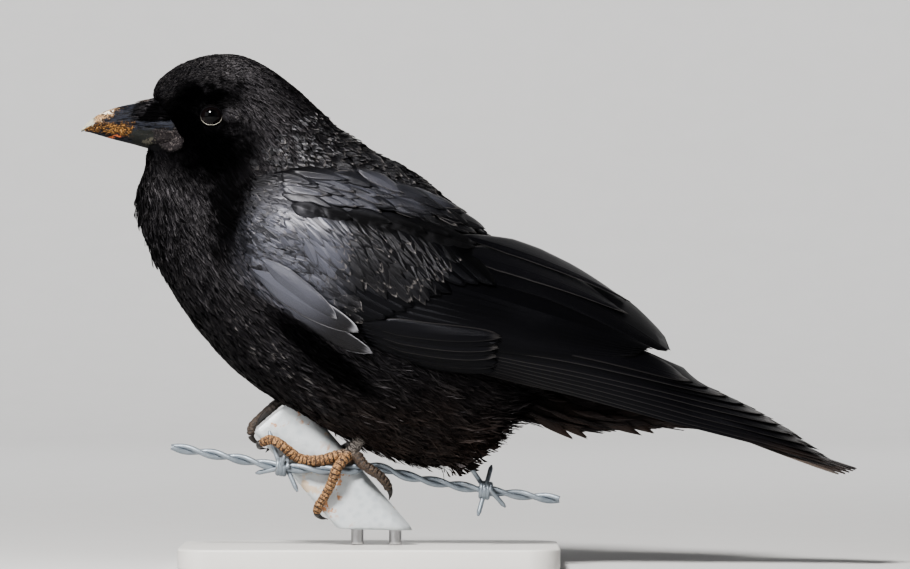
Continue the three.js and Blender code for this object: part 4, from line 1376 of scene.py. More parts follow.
def large_coverts(side):
    """Eight primary coverts along the wing's lower edge, and a step of twelve greater ones."""
    primary_coverts = wing_tract(
        side, between([0, 104], [-6, 117], 8), between([59.5, 93.0], [62, 109.5], 8), 3.0, 5.0,
        np.linspace(-1.6, 0.0, 8), grid=(20, 6), bow=2.0, bake_lane=(0, LARGE_LANES), rise=0.4,
        pointed=-0.1, roll=0.5, camber=0.2, scatter=0.3, thick=0.35,
        tone=[0.1, 0.6, 0.2, 0.9, 0.3, 1.0, 0.4, 0.7],
    )
    tips = np.concatenate([between([4, 117.5], [38, 131], 9), between([45, 134], [58, 133], 3)])
    greater = wing_tract(
        side, behind(tips, np.linspace(24, 46, 12), 36), tips, 5.4, 5.4, np.linspace(0.2, 1.0, 12),
        bow=1.0, bake_lane=(8, LARGE_LANES), rise=0.5, scatter=0.5, roll=0.1,
        tone=dice.uniform(0, 0.5, 12),
    )
    return joined([primary_coverts, greater])


def alula(side):
    """Three feathers, the lowest the longest, that stand further off the wing towards their tips."""
    return wing_tract(
        side, [[-55, 137], [-54, 141], [-50, 146.5]], [[1.8, 102.8], [-4.6, 113.2], [-14, 119.0]],
        [5.6, 5.4, 4.0], [5.6, 6.2, 5.0], [-0.2, 0.8, 1.2], grid=(26, 8), bow=[3.2, 1.6, 0.5],
        bake_lane=(0, 3), pointed=0.0, rise=2.2, roll=-0.7, tone=[0.75, 1.0, 0.8], thick=0.35,
    )


for name, side in SIDES.items():
    put_coat(f"coverts_{name}", large_coverts(side), vane_feather, "plumage")
    put_coat(f"alula_{name}", alula(side), rimmed_feather, "plumage", f"wing_{name}_alula")

# %% [markdown]
# ## Small coverts
# The front of the wing is roofed with small feathers in three sizes, too many to place by hand.
# Each kind fills a box with the even sequence and keeps what lies inside its own borders.


# %% Small and median coverts
def field(side, tries, box, keep, degrees, length, share, **shape):
    """Roof tiles spread evenly over a part of the wing, seen from the side: box is x and z from-to,
    keep(x, z, s, t) picks the roots, and degrees(x, z) is how steeply they lie."""
    draws = even_draws(tries, 2)
    x = box[0] + (box[1] - box[0]) * draws[:, 0]
    z = box[2] + (box[3] - box[2]) * draws[:, 1]
    chosen = keep(x, z, *wing_place(x, z))
    x, z = x[chosen], z[chosen]
    slant = degrees(x, z) + dice.normal(0, 8, len(x))
    length = length * dice.uniform(0.85, 1.2, len(x))
    place = np.stack([x, z], -1)
    tips = 2 * place - behind(place, slant, length[:, None])
    half = length * share * dice.uniform(0.85, 1.15, len(x))
    roll = dice.normal(0, 0.12, len(x))
    return wing_tract(side, place, tips, half, half, dice.uniform(-0.4, 0.2, len(x)), thick=0,
                      roll=roll, **shape)


def alula_edge(x):
    """Height of the alula's upper edge at x."""
    return 139.5 - 0.457 * (x + 52.6)


def on_front_edge(x, z, s, t):
    return (s > -0.015) & (t > -0.02) & (t < 1)


def on_lesser(x, z, s, t):
    """On the sheet, above the alula, and ahead of a line that leans back."""
    return (s > -0.02) & (t > -0.02) & (t < 1) & (z > alula_edge(x)) & (x < -10 + 0.2 * (z - 150))


def on_median(x, z, s, t):
    """A slanting strip behind the lesser coverts."""
    return (z > 146 - 0.30 * (x + 14)) & (z < 170 - 0.24 * x) & (x < 12 + 0.9 * (z - 134))


def lesser_lie(x, z):
    """Level along the top, steep in the middle, and along the alula beside it."""
    steep = smooth(184, 160, z) * (0.55 + 0.45 * smooth(-58, -18, x))
    beside = smooth(16, 4, z - alula_edge(x))
    return (8 + 40 * steep) * (1 - beside) + 27 * beside


def median_lie(x, z):
    return 46 + 10 * smooth(-20, 20, x)


def small_coverts(side):
    """The medians stand half a millimetre further out than the rest."""
    lesser = field(side, 2050, (-66, -6, 112, 188), on_lesser, lesser_lie, 13.0, 0.28, grid=(7, 4),
                   pointed=0.3, ragged=0.08, camber=0.2, rise=0.6)
    edge = field(side, 780, (-66, -50, 138, 184), on_front_edge, lesser_lie, 9.5, 0.30, grid=(6, 4),
                 pointed=0.4, ragged=0.12, camber=0.2, rise=0.6)
    median = field(side, 420, (-32, 30, 128, 172), on_median, median_lie, 18.0, 0.17, grid=(10, 6),
                   pointed=0.5, ragged=0.04, camber=0.35, rise=1.3)
    median["points"] = median["points"] + [0, side * 0.5, 0]
    return joined([edge, lesser, median])


# %% [markdown]
# ## Scapulars
# The scapulars grow on the shoulder and drape over the wing's upper edge, which would look like a
# lid if it were cut flush. Four rows of long feathers, each ragged and rolled its own way, break
# it, and a layer beneath in the darkest tone is painted shade in the gap.

# %% Scapulars
SCAPULAR_ROWS = [
    # first and last tip, seen from the side; their slants in degrees; lift
    ([-22, 172], [48, 157.0], 14, 30, 1.4),
    ([-26, 175.5], [50, 160], 13, 29, 1.6),
    ([-28, 179], [48, 163], 12, 28, 1.8),
    ([-30, 182.5], [44, 166], 10, 27, 2.0),
]


def scapulars(side):
    """Inner feathers in the darkest tone first, painted shade in the gap, then the rows of long shoulder
    feathers over them.
    """
    painted_shade_feathers = wing_tract(
        side, [[-36, 171], [-26, 169], [-10, 167], [0, 166], [12, 163], [20, 160]],
        [[-20, 165], [-8, 163.5], [9.5, 161.5], [26, 157], [37, 155], [48.5, 151]], 4.2, 4.2,
        np.linspace(1.3, 1.8, 6), thick=0.2, grid=(12, 6), rise=0.4, roll=-1.3, tone=0.0, ragged=0.05,
    )
    rows = [painted_shade_feathers]
    count = 22
    for first, last, start, stop, lift in SCAPULAR_ROWS:
        tips = between(first, last, count)
        tips[:, 1] += 3.0 * np.sin(np.pi * np.linspace(0, 1, count))
        slant = np.linspace(start, stop, count) + dice.normal(0, 4, count)
        length = np.minimum(dice.uniform(17, 25, count), tips[:, 0] + 41)[:, None]
        rows.append(wing_tract(
            side, behind(tips, slant, length), tips, 3.0, 3.2,
            lift + dice.uniform(-0.3, 0.3, count), bow=-0.8, thick=0.2, grid=(14, 8), rise=0.5,
            scatter=1.5, roll=dice.normal(0.30, 0.25, count), ragged=0.06,
        ))
    return joined(rows)


for name, side in SIDES.items():
    put_coat(f"shoulder_{name}", small_coverts(side), firm_feather, "plumage", f"wing_{name}_coverts")
    put_coat(f"scapulars_{name}", scapulars(side), firm_feather, "plumage")

# %% [markdown]
# ## Tail
# Twelve feathers close like a hand of cards, the middle pair on top, and the fan hangs a little at
# its edges. Each is a plate as on the wing, with its height from the fan's arch.

# %% Tail feathers
TAIL = np.array([
    # x, height of the fan's middle line, half width
    [84.0, 98.5, 13.0],
    [112.0, 89.0, 17.5],
    [145.0, 76.8, 20.5],
    [180.0, 64.0, 23.0],
    [210.0, 53.3, 24.5],
    [225.5, 48.0, 23.0],
    [231.5, 46.0, 13.0],
])
TAIL_HALF, TAIL_ARCH, TAIL_THICK, TAIL_ROOT = 24.5, 6.5, 0.22, 88.0
TAIL_TIPS = np.array([
    # x and distance from the middle of each pair's tips, from the middle pair out
    [231.3, 3.0], [230.6, 5.5], [229.3, 9.0], [227.4, 12.5], [225.0, 15.5], [221.8, 18.0],
])
INNER_VANE = 8.0


def on_tail(x, y, lift):
    """z = the fan's middle line - arch * (half / widest half)^2 * (y / half)^2, plus the lift."""
    samples = spline(TAIL, np.linspace(0, 1, 80))
    middle, half = (np.interp(x, samples[:, 0], samples[:, k]) for k in (1, 2))
    middle = middle - np.clip(x - TAIL[-1, 0], 0, None) * 0.33
    sag = TAIL_ARCH * (half / TAIL_HALF) ** 2 * np.clip(np.abs(y) / half, 0, 1.1) ** 2
    return np.stack([x, y, middle - sag + lift], -1)


def rectrices():
    """Six feathers a side, laid from the outermost in, each a little higher than the last."""
    order = np.repeat(np.arange(6)[::-1], 2)
    sides = np.array([-1, 1] * 6)
    count = len(order)
    tips_x, tips_y = TAIL_TIPS[order, 0], sides * TAIL_TIPS[order, 1]
    roots_y = sides * (0.8 + 1.1 * order)
    length = np.hypot(tips_x - TAIL_ROOT, tips_y - roots_y)
    outer = np.linspace(4.2, 7.5, 6)[::-1][order]
    low = np.where(sides > 0, INNER_VANE, outer)
    high = np.where(sides > 0, outer, INNER_VANE)
    along, across, sink, u, v, faces = vane_grid(
        count, 26, 8, length, low, high, np.full((count, 1), 0.25), 0.004, np.full(count, 0.25)
    )
    cos, sin = (tips_x - TAIL_ROOT) / length, (tips_y - roots_y) / length
    x = TAIL_ROOT + along * cos[:, None] - across * sin[:, None]
    y = roots_y[:, None] + along * sin[:, None] + across * cos[:, None]
    level = 0.85 - 0.36 * order - np.where(sides > 0, 0.0, 0.12)
    laid = on_tail(x, y, level[:, None] * (0.6 + 0.4 * u) - sink)
    laid, faces = shell_of(laid, faces, [0, 0, -TAIL_THICK])
    across, along, u, v = doubled(across, along, u, v)
    tone = np.where(order == 5, 2.0, dice.uniform(0.1, 0.7, count))
    return tract(laid, faces, across, along, u, v, tone, lanes(0, count, u, v))


put_coat("tail_fan", rectrices(), vane_feather, "flight_feathers", "tail")

# %% [markdown]
# ## Bill
# Two horn sheaths meet along the cutting edges. Each half is a half-round section carried along
# its own rows. A worn bill is never clean: the tip is chipped and pale, and dried earth sticks to
# the lower half, so those are masks placed where the bill rubs and digs.


# %% Bill finish
SPOTS = {
    # middle and half size in metres, and the reach
    "wedge": ((-0.1055, 0.0, 0.2020), (0.0012, 0.02, 0.0010), 2.0),
    "crumb": ((-0.1215, 0.0, 0.2042), (0.0020, 0.02, 0.0004), 1.8),
    "white": ((-0.1245, 0.0, 0.2158), (0.0026, 0.02, 0.0004), 1.8),
}


def drawn_out(tree, place, share):
    """The place with x shortened, so that a pattern there is drawn out along the bill."""
    return on_vectors(tree, "MULTIPLY", place, (share, 1.0, 1.0))


def horn_build(tree):
    place = place_of(tree)
    x, y, z = parts_of(tree, place)
    coarse = noise(tree, place, 420.0, 5.0, 0.7)
    fine = noise(tree, place, 1500.0, 4.0)
    streaks = noise(tree, drawn_out(tree, place, 0.16), 1300.0, 4.0, 0.6)
    shake = scaled(tree, coarse, 0.026, -0.013)
    x = maths(tree, "ADD", x, shake)
    z = scaled(tree, shake, 0.25, z)
    worn_place = vector_of(tree, x, y, z)
    # The blue-grey streaks and patches are partly the horn's own streaking and partly a painted reflection of
    # its gloss.
    dark = blend(tree, step(tree, streaks, 0.36, 0.62), (0.0020, 0.0020, 0.0028), (0.0200, 0.0220, 0.0310))
    horn = blend(tree, step(tree, coarse, 0.50, 0.62, 0.0, 0.5), dark, (0.0260, 0.0270, 0.0330))
    # Greenish plate on the lower half, with a paler wedge, and a crusted root.
    low = step(tree, z, 0.2085, 0.2070)
    plate = product(tree, low, step(tree, x, -0.1150, -0.1130), 0.8)
    green = blend(tree, plate, horn, (0.0170, 0.0178, 0.0150))
    wedge = product(tree, near(tree, worn_place, *SPOTS["wedge"]), 0.8)
    root = product(tree, low, step(tree, x, -0.1040, -0.1020))
    grimy = blend(tree, root, blend(tree, wedge, green, (0.095, 0.088, 0.070)), GAPE_DIRT)
    crust = product(tree, root, freckled(tree, place, 700.0, 0.60))
    with_pale_patches = blend(tree, product(tree, crust, 0.75), grimy, GAPE_CRUST)
    # Dried mud along the cutting edges near the tip, and one redder crumb.
    ahead = step(tree, x, -0.1115, -0.1160)
    over_keel = step(tree, scaled(tree, x, 0.16, z), 0.1852, 0.1868)
    under_edge = step(tree, z, 0.2118, 0.2098)
    crumbs = freckled(tree, drawn_out(tree, place, 0.45), 430.0, 0.86)
    mud = product(tree, ahead, over_keel, under_edge, crumbs)
    clay = blend(tree, step(tree, fine, 0.42, 0.68), (0.042, 0.021, 0.009), (0.30, 0.160, 0.058))
    crumb = near(tree, worn_place, *SPOTS["crumb"])
    ruddy = blend(tree, crumb, blend(tree, mud, with_pale_patches, clay), (0.46, 0.130, 0.050))
    # The tip's ridge is worn pale: whitish at the end, tan behind it, with a few white chips.
    ridge = step(tree, scaled(tree, x, -0.46, z), 0.2700, 0.2712)
    behind_tip = step(tree, x, -0.1320, -0.1300)
    pitted = product(tree, freckled(tree, place, 520.0, 0.62), behind_tip, 0.85)
    worn = product(tree, ridge, step(tree, x, -0.1185, -0.1225), without(tree, pitted))
    tan = blend(tree, step(tree, fine, 0.35, 0.65), (0.130, 0.080, 0.045), (0.46, 0.300, 0.170))
    white = near(tree, worn_place, *SPOTS["white"])
    flecked = blend(tree, white, tan, (0.78, 0.72, 0.62))
    cream = blend(tree, behind_tip, (0.38, 0.375, 0.31), flecked)
    crusted = highest(tree, mud, worn, crust)
    return {
        "Base Color": blend(tree, highest(tree, worn, white), ruddy, cream),
        "Roughness": scaled(tree, crusted, 0.25, scaled(tree, streaks, 0.3, 0.42)),
        "Height": scaled(tree, streaks, 0.6, product(tree, crusted, coarse)),
        "Depth": 0.0005,
    }


horn_finish = finish("bill_horn", horn_build, Specular_IOR_Level=0.08)
print("bill finish:", len(horn_finish.node_tree.nodes), "nodes")

# %% Bill shape
LOWER_BILL_SHARE = 0.93
BILL_GAP = 0.06


def bill_half(upper):
    """y = cos(turn) * half; z runs from the cutting edge to the ridge as sin(turn)^0.85.

    A shallow groove runs above the cutting edge, and the growth rings are faint ripples.
    """
    share = np.linspace(0, 1 if upper else LOWER_BILL_SHARE, 90)[:, None]
    x, ridge, edge, under, half = np.moveaxis(spline(BILL, share), -1, 0)
    sign = 1 if upper else -1
    start = edge + sign * BILL_GAP / 2
    far = np.maximum(ridge, edge + 0.5) if upper else np.minimum(under, edge - 0.5)
    turn = np.pi * np.linspace(0, 1, 41)[None]
    rise = np.sin(turn) ** 0.85
    groove = 0.05 * np.exp(-(((rise - 0.30) / 0.10) ** 2)) * smooth(0.98, 0.6, share)
    ripple = 0.006 * np.sin(share * 190 + 3 * np.sin(turn * 2)) * smooth(1.0, 0.7, share)
    y = np.cos(turn) * half * (1 - groove - ripple)
    z = start + (far - start) * rise
    x = np.broadcast_to(x, y.shape)
    flat = np.linspace(-1, 1, 9)[None, 1:-1]
    inner_y = half * flat
    inner = np.stack([np.broadcast_to(x[:, :1], inner_y.shape), inner_y,
                      np.broadcast_to(start, inner_y.shape)], -1)
    rings = np.concatenate([np.stack([x, y, z], -1), inner], 1)
    return capped(rings)


for node_name, upper in (("bill_upper", True), ("bill_lower", False)):
    points, faces = bill_half(upper)
    finish_piece(put_mesh(node_name + "_horn", points, faces), horn_finish, "bill", node_name)

# %% [markdown]
# ## Bristles
# Stiff bristles point forward from the face and cover the nostrils. Hair would stand in the air
# there, so each is a slender blade laid on the bill's own formula.


# %% Nasal bristles
def bill_face(share, turn):
    """The upper bill's outside at a share of its length and a turn round it."""
    x, ridge, edge, _, half = np.moveaxis(spline(BILL, share), -1, 0)
    rise = np.sin(np.clip(turn, 0, np.pi)) ** 0.85
    return np.stack([x, np.cos(turn) * half, edge + (ridge - edge) * rise], -1)


def bristles(count=760):
    """Root at (share, turn), tip `length` further along the bill; each arches by sin(0.8 pi u)."""
    draws = even_draws(count + 1, 2)
    share = 0.10 + 0.15 * draws[:, 0]
    turn = np.where(draws[:, 1] < 0.5, 0.28 + 2.3 * draws[:, 1], np.pi - 0.28 - 2.3 * (1 - draws[:, 1]))
    length = dice.uniform(0.11, 0.21, count) * (0.75 + 0.4 * np.abs(np.cos(turn)))
    u, v, faces = blade(5, 2)
    u, v = (np.broadcast_to(values, (count, len(values))) for values in (u, v))
    half = 0.030 * (1 - u) ** 0.6 + 0.003
    bend = dice.normal(0, 0.06, (count, 1))
    s1 = share[:, None] + length[:, None] * u
    t1 = turn[:, None] + bend * u + v * half
    lifted = 0.15 + dice.uniform(0.3, 1.3, (count, 1)) * np.sin(np.pi * u * 0.8)
    lifted = lifted + dice.normal(0, 0.22, (count, 1)) * v * (1 - u)
    centre = bill_face(s1, t1)
    _, _, normal = slopes(bill_face, s1, t1)
    outwards = np.sign(normal[..., 1:2] * centre[..., 1:2] + 1e-9)
    points = centre + normal * outwards * lifted[..., None]
    along = u * length[:, None] * 45
    # Some bristles on top get an old, pale tone: paler worn bristles and partly a painted glint on the tuft.
    top = (np.abs(turn - np.pi / 2) < 0.55) & (dice.uniform(0, 1, count) < 0.3)
    tone = np.where(top, 1.5, dice.uniform(0, 0.8, count))
    bake = tuft_patch(np.stack([share, turn / np.pi], -1), u, v)
    return tract(points, faces, v * half, along, u * 0.6, v, tone, bake)


put_coat("coat_bristles", bristles(), soft_feather, "plumage")

# %% [markdown]
# ## Eyes and lids
# The eye is a dark glassy ball with a bulge over the pupil, ringed by a bare lid. Iris and pupil
# follow an attribute, the angle from the eye's axis, so they stay put whatever the light.


# %% Eyes
def eye_build(tree):
    angle = mark_of(tree, "angle")
    fibre = noise(tree, place_of(tree), 1600.0, 3.0)
    iris = blend(tree, fibre, (0.0020, 0.0015, 0.0018), (0.0065, 0.0045, 0.0045))
    dark = blend(tree, step(tree, angle, 0.45, 0.50), (0.0012, 0.0012, 0.0015), iris)
    rim = blend(tree, step(tree, angle, 0.86, 0.98), dark, (0.004, 0.004, 0.004))
    return {"Base Color": rim}


eye_finish = finish("eye_glass", eye_build, Roughness=0.05, Specular_IOR_Level=0.17)


def lid_build(tree):
    """Black and finely wrinkled, with a pale painted reflection along the inner rim of the lower lid."""
    place = place_of(tree)
    low = step(tree, parts_of(tree, place)[2], 0.2145, 0.2095)
    # Painted reflection on the lower lid's inner rim.
    painted_glint = product(tree, low, step(tree, mark_of(tree, "rim"), 0.35, 0.7))
    color = blend(tree, painted_glint, (0.003, 0.003, 0.004), (0.26, 0.245, 0.215))
    return {"Base Color": color, "Height": noise(tree, place, 1800.0, 3.0), "Depth": 0.0002}


lid_finish = finish("lid_skin", lid_build, Roughness=0.75, Specular_IOR_Level=0.08)


def round_eye(sign, radius, angle, turn):
    """Points at that radius and angle from the eye's axis, which points straight out."""
    x = EYE["x"] + radius * np.sin(angle) * np.cos(turn)
    z = EYE["z"] + radius * np.sin(angle) * np.sin(turn)
    y = sign * (EYE["out"] + radius * np.cos(angle)) + 0 * turn
    return np.stack([x, y, z], -1)


def eyeball(sign):
    """A sphere about the y axis; the cornea adds 0.3 * exp(-(angle / 0.55)^2) to its radius."""
    angle = np.linspace(0.02, np.pi - 0.02, 48)[:, None]
    radius = EYE["radius"] + 0.3 * np.exp(-((angle / 0.55) ** 2))
    rings = round_eye(sign, radius, angle, ring_turns(48)[None])
    points, faces = capped(rings)
    return points, faces, np.broadcast_to(angle, rings.shape[:2]).ravel()


def eyelid(sign):
    """A soft ring on the ball, at 0.83 + 0.09 cos(2 turn) radians from its axis, so wider towards
    the front and back corners than above and below, with nine faint folds."""
    turn = ring_turns(96)[:, None]
    section = ring_turns(12)[None]
    lean = 0.83 + 0.09 * np.cos(2 * turn) + 0.010 * np.sin(9 * turn)
    out = EYE["radius"] + 0.07 + 0.22 * np.cos(section)
    angle = lean + 0.048 * np.sin(section)
    points = round_eye(sign, out, angle, turn)
    faces = grid_faces(97, 12, True) % (96 * 12)
    rim = np.broadcast_to(0.5 - 0.5 * np.sin(section), points.shape[:2]).ravel()
    return points.reshape(-1, 3), faces if sign > 0 else faces[:, ::-1], rim


for side, sign in SIDES.items():
    points, faces, angle = eyeball(sign)
    finish_piece(put_mesh(f"eyeball_{side}", points, faces, angle=angle), eye_finish, "eye", f"eye_{side}")
    points, faces, rim = eyelid(sign)
    finish_piece(put_mesh(f"eyelid_{side}", points, faces, rim=rim), lid_finish, "plumage")

# %% [markdown]
# ## Perch: the arm
# A sloping steel bar, flat below with a round spine above. It is an outline carried along a line,
# but its lower end is cut level: each point of the outline runs down until it meets that level,
# and both cut ends are drawn in a little, as a file would leave them.

# %% Arm
ARM = {
    "end": (-44.8, 72.8), "slope": 49.3, "depth": 27.0, "thick": 15.0, "edge": 3.0, "foot": 17.5,
    "bevel": 0.35,
}
SLOPE = np.radians(ARM["slope"])
AXIS = np.array([np.cos(SLOPE), 0, -np.sin(SLOPE)])
SPINE = np.array([np.sin(SLOPE), 0, np.cos(SLOPE)])
ARM_END = np.array([ARM["end"][0], 0, ARM["end"][1]])


def on_arm(places):
    """Places written [down the arm, across it towards the spine, y] as points."""
    down, across, y = np.moveaxis(np.asarray(places, float), -1, 0)
    return ARM_END + down[..., None] * AXIS + across[..., None] * SPINE + y[..., None] * [0, 1, 0]


def arm_outline(samples=10):
    """(y, across) round the section: two small lower corners and the half-round spine."""
    half, deep, r = ARM["thick"] / 2, ARM["depth"] / 2, ARM["edge"]
    arcs = [(half - r, -deep + r, r, -0.5, 0.0), (0.0, deep - half, half, 0.0, 1.0),
            (-half + r, -deep + r, r, 1.0, 1.5)]
    pieces = []
    for y, across, radius, start, stop in arcs:
        a = np.pi * np.linspace(start, stop, samples if radius == r else 2 * samples)
        pieces.append(np.stack([y + radius * np.cos(a), across + radius * np.sin(a)], -1))
    return np.concatenate(pieces)


def arm_mesh():
    """The outline at 40 places down the arm, each point ending where it meets the foot's level."""
    y, across = arm_outline().T
    level = (ARM_END[2] + across * SPINE[2] - ARM["foot"]) / -AXIS[2]
    share = np.linspace(0, 1, 40)[:, None]
    inset = np.where((share == 0) | (share == 1), 1 - ARM["bevel"] / (ARM["thick"] / 2), 1.0)
    down = share * level[None]
    down[1] = ARM["bevel"]
    return capped(on_arm(np.stack([down, across * inset, y * inset], -1)))


def steel_build(tree):
    """Cloudy zinc with a faint spangle, warm stains, and rust where freckles meet pale clouds."""
    place = place_of(tree)
    spots = use_group(tree, freckles, Place=place, Scale=95.0, Cover=0.44)
    cloudy = noise(tree, place, 40.0, 4.0)
    spangle = node(tree, "TexVoronoi", {"Vector": place, "Scale": 260.0}).outputs["Distance"]
    zinc = blend(tree, cloudy, (0.40, 0.445, 0.475), (0.60, 0.625, 0.64))
    flecked = blend(tree, step(tree, spangle, 0.1, 0.6, 0.0, 0.35), zinc, (0.68, 0.70, 0.71))
    stained = product(tree, freckled(tree, place, 34.0, 0.42), 0.65)
    warm = blend(tree, stained, flecked, (0.60, 0.42, 0.24))
    rust = product(tree, spots["Mask"], step(tree, cloudy, 0.42, 0.58), 0.9)
    return {
        "Base Color": blend(tree, rust, warm, (0.50, 0.23, 0.085)),
        "Roughness": scaled(tree, cloudy, 0.25, 0.42),
        "Height": spots["Grain"],
        "Depth": 0.00025,
    }


arm_finish = finish("galvanised_arm", steel_build, Metallic=0.35)
finish_piece(put_mesh("arm_bar", *arm_mesh()), arm_finish, "galvanised_steel", "perch_arm")

# %% [markdown]
# ## Tubes along curves
# Toes, claws, legs, wires and rods are tubes that follow a curve. A ring stands across it at each
# place. Its "up" is either given, such as the back of a toe, or carried on from the place before
# with the least turn, which keeps a coil from twisting.


# %% Tube helpers
def carried(path):
    """A direction across the path at each place, carried along it with the least turn: the one
    before it, less its part along the path."""
    ahead = unit(np.gradient(path, axis=0))
    across = [np.cross(ahead[0], [0.31, 0.9, 0.3])]
    for direction in ahead:
        across.append(unit(across[-1] - direction * across[-1].dot(direction)))
    return np.array(across[1:])


def tube(path, radius, up, sides=16):
    """Rings of a tube; radius is (places,) or (places, sides), and turn 0 faces up."""
    ahead = unit(np.gradient(path, axis=0))
    up = unit(up - ahead * (up * ahead).sum(-1, keepdims=True))
    beside = np.cross(ahead, up)
    turn = ring_turns(sides)[None, :, None]
    radius = radius if np.ndim(radius) == 2 else np.asarray(radius)[:, None]
    ring = up[:, None] * np.cos(turn) + beside[:, None] * np.sin(turn)
    return path[:, None] + ring * radius[..., None]


def evenly_along(points, count, finer=40):
    """Evenly spaced places on a smooth curve through a few points, and the curve's length."""
    dense = spline(points, np.linspace(0, 1, len(points) * finer))
    run = np.concatenate([[0], np.cumsum(np.linalg.norm(np.diff(dense, axis=0), axis=-1))])
    share = np.linspace(0, run[-1], count)
    return np.stack([np.interp(share, run, dense[:, k]) for k in range(3)], -1), run[-1]


print("a bend of 3 points is", evenly_along([[0, 0, 0], [1, 1, 0], [2, 0, 0]], 20)[1].round(2), "long")

# %% [markdown]
# ## Feet
# A crow's toes are sheathed in scutes: hard plates along the back, with granular pads beneath.
# The plates are real steps in the tube's radius, and the cracks carry an attribute that the
# finish darkens. Each toe's own "up" points away from the middle of the bar that it grips.

# %% Foot sizes
FEET = {
    # a toe is its radius, places from the sole on, and places along its claw, as on_arm reads them
    "left": {
        "sole": [37.6, 14.2, -8.5],
        "knee": [3, -17, 72],
        "toes": {
            "middle": [2.8, [[34.2, 8.6, -10.7], [30.6, 1.4, -10.8], [23.7, -5.2, -10.9], [13.7, -7.3, -13.7],
                             [8.1, -9.5, -12.2], [6.3, -14.3, -8.6]],
                       [[6.4, -15.6, -6.8], [7.6, -16.2, -4.2], [10.0, -14.4, -1.8]]],
            "outer": [2.6, [[37.8, 10.3, -14.0], [39.0, 5.0, -15.9], [42.1, -0.6, -13.6], [44.9, -7.3, -10.9],
                            [46.6, -13.1, -9.4], [48.5, -15.7, -6.4]],
                      [[49.6, -16.2, -4.8], [52.0, -15.8, -2.4], [54.4, -14.2, 0.4]]],
            "back": [2.7, [[41.2, 16.2, -11.2], [46.1, 16.0, -12.4], [51.9, 17.7, -12.0], [57.7, 18.5, -9.5],
                           [62.2, 17.5, -6.2]],
                     [[63.4, 17.0, -5.4], [65.0, 15.9, -4.4], [66.4, 14.0, -3.4]]],
            "inner": [2.4, [[36.0, 17.0, -3.0], [34.6, 15.4, 3.4], [33.2, 9.4, 9.4], [32.0, 3.0, 10.5],
                            [31.0, -4.0, 10.4]],
                      [[30.8, -5.8, 10.2], [30.4, -9.4, 9.6], [30.2, -12.6, 8.1]]],
        },
    },
    "right": {
        "sole": [4.6, 16.2, 4.6],
        "knee": [-18, 15, 96],
        "toes": {
            "middle": [2.5, [[0.4, 16.2, 3.2], [-2.8, 13.6, 2.7], [-3.2, 5.0, 2.6], [-3.2, -6.0, 2.6],
                             [-2.6, -12.8, 2.6], [0.4, -16.0, 2.6]],
                       [[1.8, -16.4, 2.6], [4.2, -16.2, 2.6], [6.8, -14.3, 2.4]]],
            "inner": [2.3, [[1.0, 16.2, -1.2], [-2.6, 13.6, -2.6], [-3.1, 6.0, -3.2], [-3.1, -3.0, -3.4]],
                      [[-3.1, -4.6, -3.4], [-2.6, -8.2, -3.4], [-1.0, -10.8, -3.4]]],
            "outer": [2.4, [[5.2, 12.6, 10.4], [6.8, 5.0, 10.6], [8.6, -3.0, 10.5], [9.8, -9.0, 10.4]],
                      [[10.0, -10.6, 10.0], [10.6, -13.6, 9.0], [11.0, -16.0, 6.2]]],
            "back": [2.6, [[10.0, 17.6, 4.4], [15.0, 17.2, 3.4], [20.0, 16.4, 2.4]],
                     [[21.4, 16.6, 2.2], [24.2, 16.2, 1.8], [26.8, 14.2, 1.4]]],
        },
    },
}
PAD, SHIN = 3.9, (2.6, 3.6)
SCUTE, SCUTE_STEP = 2.1, 0.44
# Dry earth on each part, 0 to 1. Low shares keep the far foot and the near foot's hind toe dark and bare:
# there they are painted shade.
SOIL_AND_SHADE = {"left": {"middle": 1.0, "outer": 0.95, "back": 0.15, "inner": 0.15, "leg": 0.25},
        "right": {"middle": 0.1, "inner": 0.05, "outer": 0.05, "back": 0.05, "leg": 0.0}}


print("toes:", {side: list(foot["toes"]) for side, foot in FEET.items()})


# %% Feet
TOE_PLACES = 150


def off_the_bar(path):
    """Away from the bar's middle line: the part of the way there that is across the bar."""
    rel = path - ARM_END
    return unit(rel - (rel @ AXIS)[:, None] * AXIS)


def scaly(path, length, thick, up, soil, sides=22):
    """A scaly tube. Along its back the radius steps by (1 - |2f - 1|^4) over each scute, where f is
    the place within the scute; underneath it swells in pads between the joints."""
    run = np.linspace(0, length, len(path))
    f = (run / SCUTE) % 1
    plate = 1 - np.abs(2 * f - 1) ** 4
    turn = ring_turns(sides)[None]
    back = smooth(-0.1, 0.7, np.cos(turn))
    pads = 0.09 * np.maximum(0, -np.cos(turn)) * (0.4 + np.cos(run * 0.85)[:, None])
    grain = 0.04 * np.sin(run[:, None] * 1.7 + 2 * turn) + 0.03 * np.sin(run[:, None] * 3.3 - 3 * turn)
    radius = thick[:, None] * (1 + pads + grain) + SCUTE_STEP * (plate[:, None] - 0.75) * back
    points, faces = capped(tube(path, radius, up, sides))
    groove = ((1 - plate[:, None]) * back + 0 * turn).ravel()
    return {"points": points, "faces": faces, "groove": groove, "soil": np.full(len(points), soil)}


